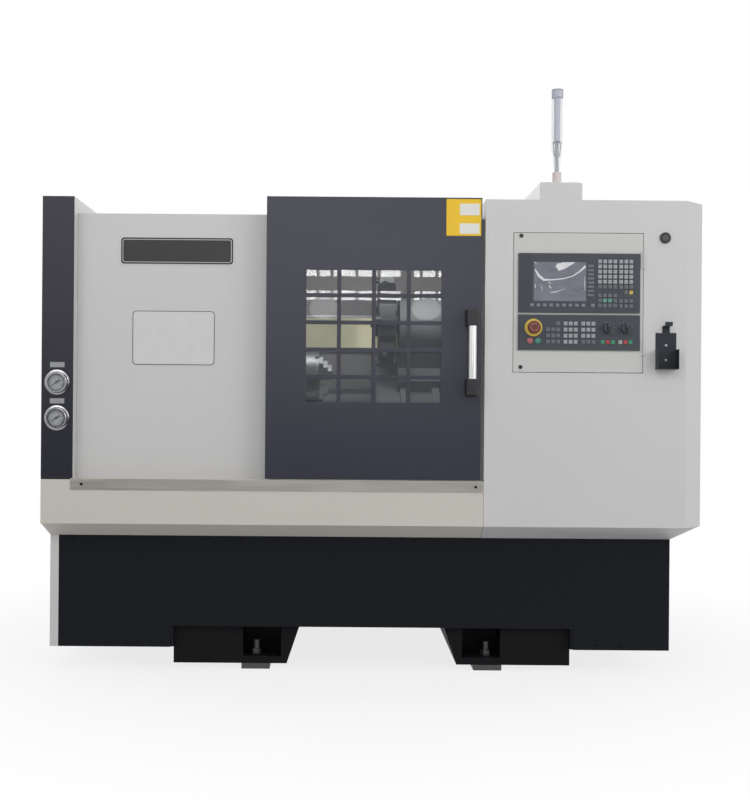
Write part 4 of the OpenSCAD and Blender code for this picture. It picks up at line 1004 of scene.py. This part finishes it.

# %% [markdown]
# ## Screen
# The screen lies a little behind the face of its unit. Its film is creased, so stretched
# noise breaks up the gloss and paints lighter streaks of sheen into the colour, and a clear
# coat gives wet highlights. Thin darker foils mark the port cover at the left and the
# fields behind the keys.

# %% Screen and fields
film = Finish("screen_film")
# painted sheen: this noise makes the film's colour lighter along stretched streaks
crease_sheen = film.noise(26, 4, (1, 1, 2.2))
film.set(
    Base_Color=film.blend(crease_sheen, srgb(82, 86, 97), srgb(118, 122, 134)),
    Roughness=0.10 + 0.22 * crease_sheen,
    Normal=film.bump(film.noise(18, 2, (1, 1, 2)), 0.8, 0.004),
    Coat_Weight=0.4 + 0.6 * crease_sheen,
)
SCREEN_T = 0.0015
SCREEN_LOW, SCREEN_HIGH = panel_point(68, 245, -0.0018), panel_point(249, 380, -0.0018)
bm = bmesh.new()
front_plate(bm, SCREEN_LOW - Vector((0, SCREEN_T, 0)), SCREEN_HIGH, 0.002, 0.0005)
finish_piece("screen", bm, "operator_panel", "unit_plastic", film.material)


def panel_foil(name, low, high, material, thick=0.0004):
    """A thin foil on a unit, between two (x mm, z mm) corners."""
    field = [(spot.x, spot.z) for spot in (panel_point(*low), panel_point(*high))]
    foil(name, field, UNIT_FACE, thick, 0.0006, "operator_panel", "unit_plastic", material, 0.0001)


UNIT_SHADE = print_colour("unit_shade", srgb(45, 51, 58), 0.45)
UNIT_LINE = print_colour("unit_line", srgb(26, 29, 34), 0.5)
KEY_FIELDS = (
    ((287, 286), (357, 393)), ((360, 286), (413, 393)),
    ((287, 221), (357, 275)), ((360, 221), (413, 257)),
)
panel_foil("port_cover", (18, 209), (60, 406), UNIT_SHADE)
panel_foil("port_seam", (26, 286), (60, 287.4), UNIT_LINE, 0.0006)
for step, (low, high) in enumerate(KEY_FIELDS):
    panel_foil("key_field_%d" % step, low, high, UNIT_SHADE)
print("screen:", round(1000 * (SCREEN_HIGH.x - SCREEN_LOW.x)), "mm wide")

# %% [markdown]
# ## Stop button, push buttons and knobs
# The emergency stop is a red mushroom over a yellow collar, with three pale arcs on its
# head that are short bars turned about its centre. Each override knob is grey, with its
# wing painted black as shade. The wing is told apart by how far it stands out, so one
# finish serves the whole knob. Two catches hold the left edge of the panel plate.

# %% Stop button
STOP_AT = panel_point(67.6, 153, 0.003)
COLLAR_IN, COLLAR_OUT, COLLAR_T = 0.0120, 0.0305, 0.0014
collar = [
    (COLLAR_IN, 0), (COLLAR_OUT, 0), (COLLAR_OUT, 0.0006), (COLLAR_OUT - 0.0015, COLLAR_T),
    (COLLAR_IN, COLLAR_T), (COLLAR_IN, 0),
]
yellow = FINISHES["stop_yellow"]
turned_piece("stop_collar", [STOP_AT], collar, 56, "operator_panel", "red_plastic", yellow)

arc = bmesh.new()
slab(arc, (0.0112, -0.0253, -0.0016), (0.0136, -0.0250, 0.0016))
sweep = [start + 9 * step for start in (60, 180, 300) for step in range(9)]
bm = repeat(arc, [facing(STOP_AT, angle) for angle in sweep])
stop_mark = print_colour("stop_mark", srgb(214, 184, 176), 0.4)
finish_piece("stop_marks", bm, "emergency_stop", "red_plastic", stop_mark)

print("stop button at", [round(part, 3) for part in STOP_AT])

# %% Knob finish and push buttons
WING_OUT = 0.0165
knob_finish = Finish("override_knob")
depth = knob_finish.node("ShaderNodeSeparateXYZ", {}, {"Vector": knob_finish.place()}, out="Y")
limits = {0: depth, 1: UNIT_FACE - WING_OUT}
# painted shade: the wing, the part that stands out furthest, is coloured black
wing_painted_shade = knob_finish.node("ShaderNodeMath", {"operation": "LESS_THAN"}, limits)
knob_pores = knob_finish.noise(700, 2)
knob_finish.set(
    Base_Color=knob_finish.blend(wing_painted_shade, srgb(50, 55, 62), srgb(14, 15, 18)),
    Roughness=0.42 + 0.1 * knob_pores,
    Normal=knob_finish.bump(knob_pores, 0.2, 0.0003),
)
for knob in ("feed_knob", "speed_knob"):
    PIECES[knob].data.materials[0] = knob_finish.material

BUTTON = [
    (0, 0), (0.0105, 0), (0.0105, 0.0022), (0.0095, 0.003), (0.0082, 0.003), (0.0082, 0.0046),
    (0.0070, 0.0050), (0, 0.0050),
]
BUTTON_Z = 107.6
for name, x, colour in (("push_red", 56.3, (164, 92, 92)), ("push_green", 83.4, (66, 132, 116))):
    centre, finish = panel_point(x, BUTTON_Z), moulded(name, srgb(*colour), 0.34, 0.1)
    piece = turned_piece(name, [centre], BUTTON, 32, "operator_panel", "keycaps", finish)
    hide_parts("panel_keys")

print("push buttons at height", BUTTON_Z, "mm on the panel")

# %% Pointers, scales and catches
KNOB_Z, SCALE_START, SCALE_STEP = 153, 225, 27
for body, x in (("feed_override", 324), ("speed_override", 387)):
    centre = panel_point(x, KNOB_Z)
    bm = bmesh.new()
    slab(bm, centre + Vector((-0.0010, -0.0222, 0.004)), centre + Vector((0.0010, -0.0220, 0.0145)))
    finish_piece(body + "_pointer", bm, body, "black_plastic", INK["grey"])
    tick = bmesh.new()
    slab(tick, (0.0205, -0.0002, -0.0004), (0.0235, 0, 0.0004))
    bm = repeat(tick, [facing(centre, SCALE_START - SCALE_STEP * i) for i in range(11)])
    finish_piece(body + "_scale", bm, "operator_panel", "unit_plastic", INK["pale"])

CATCH_X, CATCH_ZS, PLATE_FACE = 25, (470, 17), FRONT - 0.001
CATCH = [
    (0, 0), (0.0070, 0), (0.0070, 0.002), (0.0060, 0.003), (0.0016, 0.003), (0.0016, 0.001),
    (0, 0.001),
]
spots = [panel_point(CATCH_X, z_mm, UNIT_FACE - PLATE_FACE) for z_mm in CATCH_ZS]
turned_piece("panel_catches", spots, CATCH, 24, "operator_panel", "black_plastic")
print("panel catches:", len(spots))

# %% [markdown]
# ## Behind the window
# The door glass is dim, so what shows through it is what is lit. On such machines a
# long work light sits on the rear wall, over the guideways: a flat cream diffuser in a
# dull frame. Its glow is painted light for the lit wall, painted dimmer towards the left,
# with faint upright seams where its panes meet. A low lamp under the roof stands for the
# light that falls in.

# %% Work light
REAR_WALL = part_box("rear_panel")[0].y
LIGHT_LOW, LIGHT_HIGH = (-0.318, 1.176), (0.212, 1.318)
LIGHT_PANES, PANE_GAP, PANE_T = 4, 0.001, 0.012
FRAME_TALL, FRAME_T = 0.012, 0.018

# painted light: the cream diffuser glows in place of the lit rear wall
painted_glow_finish = Finish("work_light_painted_glow")
along = painted_glow_finish.node("ShaderNodeSeparateXYZ", {}, {"Vector": painted_glow_finish.place()}, out="X")
cloud = painted_glow_finish.noise(5, 3, (1, 1, 0.4))
# painted shade: the glow is dimmer towards the left end of the light
level = painted_glow_finish.ramp(along + 0.25 * cloud, -0.22, 0.10)
painted_glow_finish.set(
    Base_Color=(*srgb(196, 192, 160), 1),
    Roughness=0.5,
    Emission_Color=painted_glow_finish.blend(level, srgb(164, 163, 140), srgb(226, 224, 186)),
    Emission_Strength=1.0,
)
light_span = (LIGHT_HIGH[0] - LIGHT_LOW[0]) / LIGHT_PANES
bm = bmesh.new()
for i in range(LIGHT_PANES):
    left = LIGHT_LOW[0] + i * light_span
    low = (left + PANE_GAP, REAR_WALL - PANE_T, LIGHT_LOW[1])
    high = (left + light_span - PANE_GAP, REAR_WALL, LIGHT_HIGH[1])
    front_plate(bm, low, high, 0.003, 0.0015)
finish_piece("work_light_panes", bm, "frame", "panel_paint", painted_glow_finish.material)

bm = bmesh.new()
for z in (LIGHT_LOW[1] - FRAME_TALL, LIGHT_HIGH[1]):
    low, high = (LIGHT_LOW[0], REAR_WALL - FRAME_T, z), (LIGHT_HIGH[0], REAR_WALL, z + FRAME_TALL)
    front_plate(bm, low, high, 0.002, 0.001)
finish_piece("work_light_frame", bm, "frame", "zinc_steel")
soft_lamp("inner_lamp", (0.0, -0.36, 1.50), (0.05, 0.30, 1.0), (0.7, 0.10), 3)
print("work light panes:", LIGHT_PANES)

# %% [markdown]
# ## Signal lamp
# The lamp's clear tube narrows to a stem at its foot. Inside the cone there are the
# lead wires and two dark holding prongs, a sleeve hides the thread at the bottom, and
# the cap has a dark rim. They are thin turned parts and bent bars round the same axis.

# %% Signal lamp trim
LAMP_LOW, LAMP_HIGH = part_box("lamp_foot")
LAMP_X, LAMP_Y = (LAMP_LOW.x + LAMP_HIGH.x) / 2, (LAMP_LOW.y + LAMP_HIGH.y) / 2


def upright(bm, profile):
    """Spins (radius, height over the bracket) points about the lamp's own axis."""
    points = [(LAMP_X + radius, LAMP_Y, LAMP_LOW.z + height) for radius, height in profile]
    spun(bm, points, (LAMP_X, LAMP_Y, 0), (0, 0, 1), 32)


SLEEVE = [(0.0154, 0.0045), (0.0160, 0.005), (0.0160, 0.040), (0.0154, 0.0409), (0.0154, 0.0045)]
THREAD = [(0.0114, 0.146), (0.0119, 0.1465), (0.0119, 0.150), (0.0114, 0.1505), (0.0114, 0.146)]
CAP_RIM = [
    (0.0085, 0.3335), (0.0205, 0.3335), (0.0208, 0.3325), (0.0205, 0.3318), (0.0085, 0.3318),
    (0.0085, 0.3335),
]
bm = bmesh.new()
upright(bm, SLEEVE)
close_up(bm)
finish_piece("lamp_sleeve", bm, "frame", "lamp_post", FINISHES["lamp_sleeve"])

bm = bmesh.new()
upright(bm, THREAD)
upright(bm, CAP_RIM)
close_up(bm)
finish_piece("lamp_rings", bm, "frame", "black_plastic")

PRONG_OFF, PRONG_LOW, PRONG_TOP, PRONG_LEAN = 0.0135, 0.098, 0.148, 0.10
prong_print = print_colour("lamp_prong", srgb(120, 112, 116), 0.4)
pivot = Matrix.Translation((LAMP_X, LAMP_Y, LAMP_LOW.z + PRONG_TOP))
bm = bmesh.new()
for side in (-1, 1):
    middle = Vector((LAMP_X + side * PRONG_OFF, LAMP_Y, LAMP_LOW.z))
    low, high = Vector((-0.0016, -0.003, PRONG_LOW)), Vector((0.0016, 0.003, PRONG_TOP))
    bevel_edges(bm, edges_along(slab(bm, middle + low, middle + high), 2), 0.0008, 2)
    lean = pivot @ Matrix.Shear("XY", 4, (side * PRONG_LEAN, 0)) @ pivot.inverted()
    own = [vert for vert in bm.verts if (vert.co.x - LAMP_X) * side > 0]
    bmesh.ops.transform(bm, matrix=lean, verts=own)
finish_piece("lamp_prongs", bm, "frame", "lamp_post", prong_print)

WIRE_OFF, WIRE_MIDDLE, WIRE_LONG, WIRE_R = 0.0062, 0.100, 0.090, 0.0012
wire_print = print_colour("lamp_wire", srgb(96, 112, 112), 0.45)
bm = bmesh.new()
for angle in (0.6, 2.7, 4.6):
    x, y = LAMP_X + WIRE_OFF * math.cos(angle), LAMP_Y + WIRE_OFF * math.sin(angle)
    spot = Matrix.Translation((x, y, LAMP_LOW.z + WIRE_MIDDLE))
    bmesh.ops.create_cone(
        bm, cap_ends=True, segments=10, radius1=WIRE_R, radius2=WIRE_R, depth=WIRE_LONG, matrix=spot,
    )
finish_piece("lamp_wires", bm, "frame", "rubber", wire_print)
print("lamp top:", round(LAMP_HIGH.z, 3))

# %% [markdown]
# ## Film on the screen
# New screens keep their protective film for a while. It lies loose, and the light along
# its creases is painted on: a long sagging fold, a bright flap at the top and some short
# wrinkles are painted highlights. Each fold is a narrow ribbon drawn through a few points,
# a little proud of the screen and pale with painted highlight.

# %% Film creases
FILM_Y, FOLD_T = SCREEN_LOW.y - SCREEN_T - 0.0001, 0.0002
# painted highlight: a pale glossy colour stands for the light caught along the creases
painted_fold_highlight = Finish("painted_fold_highlight")
sheen = painted_fold_highlight.noise(40, 3)
painted_fold_highlight.set(
    Base_Color=painted_fold_highlight.blend(sheen, srgb(188, 190, 198), srgb(238, 234, 232)),
    Roughness=0.16 + 0.1 * sheen,
    Coat_Weight=0.8,
)


def ribbon(bm, points):
    """A flat ribbon through (x mm, z mm, width mm) points on the panel."""
    pairs = []
    for index, (x, z, width) in enumerate(points):
        before, after = points[max(index - 1, 0)], points[min(index + 1, len(points) - 1)]
        way = Vector((after[0] - before[0], 0, after[1] - before[1])).normalized()
        side = Vector((-way.z, 0, way.x)) * width / 2000
        spot = panel_point(x, z)
        spot.y = FILM_Y
        pairs.append((bm.verts.new(spot + side), bm.verts.new(spot - side)))
    for (a, b), (c, d) in zip(pairs, pairs[1:]):
        bm.faces.new((a, b, d, c))


# Points of the painted highlights on the film's creases; the second is the bright flap
FOLD_HIGHLIGHTS = (
    ((72, 354, 3), (85, 332, 9), (102, 318, 8), (130, 318, 4.2), (168, 322, 3.2),
     (202, 331, 3.6), (228, 349, 5), (246, 366, 8)),
    ((147, 371, 14), (156, 362, 26), (170, 367, 24), (190, 373, 13), (208, 378.5, 3)),
    ((69, 379, 2.6), (78, 371, 1)),
    ((119, 309, 3), (128, 306, 1)),
    ((121, 300, 1), (124, 293, 4), (130, 288, 1)),
    ((122, 274, 1), (142, 276, 3), (158, 281, 1.4), (176, 288, 0.6)),
    ((72, 304, 1), (73, 296, 3), (74, 288, 1)),
    ((243, 330, 1), (244, 300, 1.6), (243, 282, 0.8)),
    ((92, 305, 0.6), (95, 290, 1.6), (97, 278, 0.6)),
)
bm = bmesh.new()
for fold in FOLD_HIGHLIGHTS:
    ribbon(bm, fold)
bmesh.ops.recalc_face_normals(bm, faces=bm.faces)
if bm.faces[:][0].normal.y > 0:
    bmesh.ops.reverse_faces(bm, faces=bm.faces)
bmesh.ops.solidify(bm, geom=bm.faces[:], thickness=FOLD_T)
finish_piece("painted_fold_highlights", bm, "operator_panel", "unit_plastic", painted_fold_highlight.material)
print("film folds:", len(FOLD_HIGHLIGHTS))

# %% [markdown]
# ## Sides and back
# Nobody shows the back of a machine in a photograph, but it is there: louvres in the
# door of the rear cabinet, a closing strip behind the operator cabinet's top, and
# rows of flat screws that hold the covers. A head is drawn once, facing the operator,
# and turned about the upright axis for the other sides.

# %% Louvres
DOOR_LOW, DOOR_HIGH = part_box("electrical_door")
LOUVRE_FACE = DOOR_HIGH.y - RECESSES["electrical_door"][2]
LOUVRE_WIDE, LOUVRE_STEP, LOUVRES = 0.26, 0.020, 9
BLADE_HALF, BLADE_T, BLADE_OUT = 0.006, 0.0006, 0.0022
SLIT_TALL, SLIT_T, SLIT_END = 0.0035, 0.0004, 0.004

blade = bmesh.new()
slab(blade, (-LOUVRE_WIDE / 2, 0, -BLADE_HALF), (LOUVRE_WIDE / 2, BLADE_T, BLADE_HALF))
low_edge = [vert for vert in blade.verts if vert.co.y > BLADE_T / 2 and vert.co.z < 0]
bmesh.ops.translate(blade, vec=(0, BLADE_OUT, 0), verts=low_edge)
bevel_edges(blade, list(blade.edges), 0.0003, 2)
louvre_xs = (DOOR_LOW.x + 0.26, DOOR_HIGH.x - 0.30)
louvre_zs = (DOOR_LOW.z + 0.12, DOOR_HIGH.z - 0.30)
louvre_places = [
    Matrix.Translation((x, LOUVRE_FACE, z + LOUVRE_STEP * step))
    for x in louvre_xs for z in louvre_zs for step in range(LOUVRES)
]
finish_piece("cabinet_louvres", repeat(blade, louvre_places), "rear_door", "cover_paint")
# painted shade: a black strip under each blade stands for the dark opening behind it
slit = bmesh.new()
slit_half = LOUVRE_WIDE / 2 - SLIT_END
slab(slit, (-slit_half, 0, -BLADE_HALF - SLIT_TALL), (slit_half, SLIT_T, -BLADE_HALF))
bm = repeat(slit, louvre_places)
finish_piece("louvre_slit_shade", bm, "rear_door", "black_sheet", INK["black"])
print("louvres:", len(louvre_places))

# %% Closing strip and cover screws
CABINET_LOW, CABINET_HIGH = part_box("operator_cabinet")
REAR_LOW, REAR_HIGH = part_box("rear_panel")
LEFT_LOW, LEFT_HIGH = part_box("left_end_cover")
SHEET_T = 0.003
strip = (
    (CABINET_LOW.x + SHEET_T, REAR_LOW.y, REAR_HIGH.z),
    (CABINET_HIGH.x - SHEET_T, REAR_HIGH.y, CABINET_HIGH.z - SHEET_T),
)
folded_plates("rear_closing_strip", [strip], 0, 0.0008, "cover_paint")

HEAD_R, HEAD_TALL, HEAD_SLOT = 0.0065, 0.0013, 0.42
EDGE, PRESSED, DOOR_EDGE = 0.09, 0.0015, 0.075


def flat_head():
    bm = bmesh.new()
    slot = HEAD_SLOT * HEAD_R
    profile = [
        (0, 0), (HEAD_R, 0), (0.9 * HEAD_R, HEAD_TALL), (slot, HEAD_TALL), (slot, 0.3 * HEAD_TALL),
        (0, 0.3 * HEAD_TALL),
    ]
    turned(bm, (0, 0, 0), profile, 14)
    close_up(bm)
    return bm


def looking(turn_deg, xs, ys, zs):
    """Places at every x, y and z for a shape that faces the operator, turned about Z."""
    turn = Matrix.Rotation(math.radians(turn_deg), 4, "Z")
    return [Matrix.Translation((x, y, z)) @ turn for x in xs for y in ys for z in zs]


side_ys = (LEFT_LOW.y + EDGE, (LEFT_LOW.y + LEFT_HIGH.y) / 2, LEFT_HIGH.y - EDGE)
left_zs, right_zs = (LEFT_LOW.z + 0.16, LEFT_HIGH.z - EDGE), (0.66, CABINET_HIGH.z - EDGE)
cover_places = looking(-90, (LEFT_LOW.x + PRESSED,), side_ys, left_zs)
cover_places += looking(90, (CABINET_HIGH.x - PRESSED,), side_ys, right_zs)
cover_places += looking(180, (-1.02, -0.66, -0.32), (REAR_HIGH.y,), (0.58, 1.07, 1.55))
finish_piece("cover_screws", repeat(flat_head(), cover_places), "frame", "zinc_steel")
door_xs = (DOOR_LOW.x + DOOR_EDGE, DOOR_HIGH.x - DOOR_EDGE)
door_zs = (DOOR_LOW.z + DOOR_EDGE, DOOR_HIGH.z - DOOR_EDGE)
door_places = looking(180, door_xs, (LOUVRE_FACE,), door_zs)
finish_piece("door_screws", repeat(flat_head(), door_places), "rear_door", "zinc_steel")
print("flat heads:", len(cover_places) + len(door_places))

# %% [markdown]
# ## Closing plates
# Where covers of different shape meet, a small plate closes the corner. A triangle fills
# the rear corner under the left cover, a foot and a cheek close the gauge column down to
# the apron, and two strips stand between the base cover and its feet.

# %% Corner under the left cover
SKIRT_IN, CORNER_T, CORNER_BACK = 0.020, 0.0025, 0.0028
top_z = LEFT_LOW.z + SKIRT_TALL - 0.0004
inner_x = LEFT_LOW.x + SKIRT_IN + 0.0005
outline = (
    (LEFT_LOW.x + SHEET_T + 0.0008, top_z), (inner_x, top_z), (inner_x, LEFT_LOW.z + 0.0015),
)
bm = bmesh.new()
corners = [bm.verts.new((x, REAR_HIGH.y - CORNER_BACK, z)) for x, z in outline]
lifted = bmesh.ops.extrude_face_region(bm, geom=[bm.faces.new(corners)])
far_verts = [item for item in lifted["geom"] if isinstance(item, bmesh.types.BMVert)]
bmesh.ops.translate(bm, vec=(0, CORNER_T, 0), verts=far_verts)
bmesh.ops.recalc_face_normals(bm, faces=bm.faces)
finish_piece("rear_corner_plate", bm, "frame", "cover_paint")
print("corner plate:", round(1000 * (top_z - LEFT_LOW.z), 1), "mm tall")

# %% Foot of the gauge column
APRON_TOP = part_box("apron")[1].z
COLUMN_LOW, COLUMN_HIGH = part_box("gauge_panel")
ledge = (
    (COLUMN_LOW.x + 0.0005, FRONT + 0.0004, APRON_TOP),
    (COLUMN_HIGH.x - 0.0005, FRONT + 0.04, COLUMN_LOW.z),
)
cheek = (
    (COLUMN_HIGH.x - SHEET_T, COLUMN_HIGH.y, APRON_TOP),
    (COLUMN_HIGH.x - 0.0001, FIXED, COLUMN_LOW.z + 0.03),
)
folded_plates("column_foot", [ledge], 0, 0.0006, "column_paint")
folded_plates("column_cheek", [cheek], 2, 0.0006, "cover_paint")

FOOT_XS, FOOT_ZS, FOOT_BACK = (0.698, 0.714), (0.081, 0.160), -0.6005
foot_boxes = []
for side in (-1, 1):
    left, right = sorted(side * x for x in FOOT_XS)
    low, high = (left, BASE_FRONT + 0.0035, FOOT_ZS[0]), (right, FOOT_BACK, FOOT_ZS[1])
    foot_boxes.append((low, high))
folded_plates("foot_closing_plates", foot_boxes, 2, 0.0008, "base_paint")
print("column foot closed over", round(1000 * (COLUMN_LOW.z - APRON_TOP), 1), "mm")
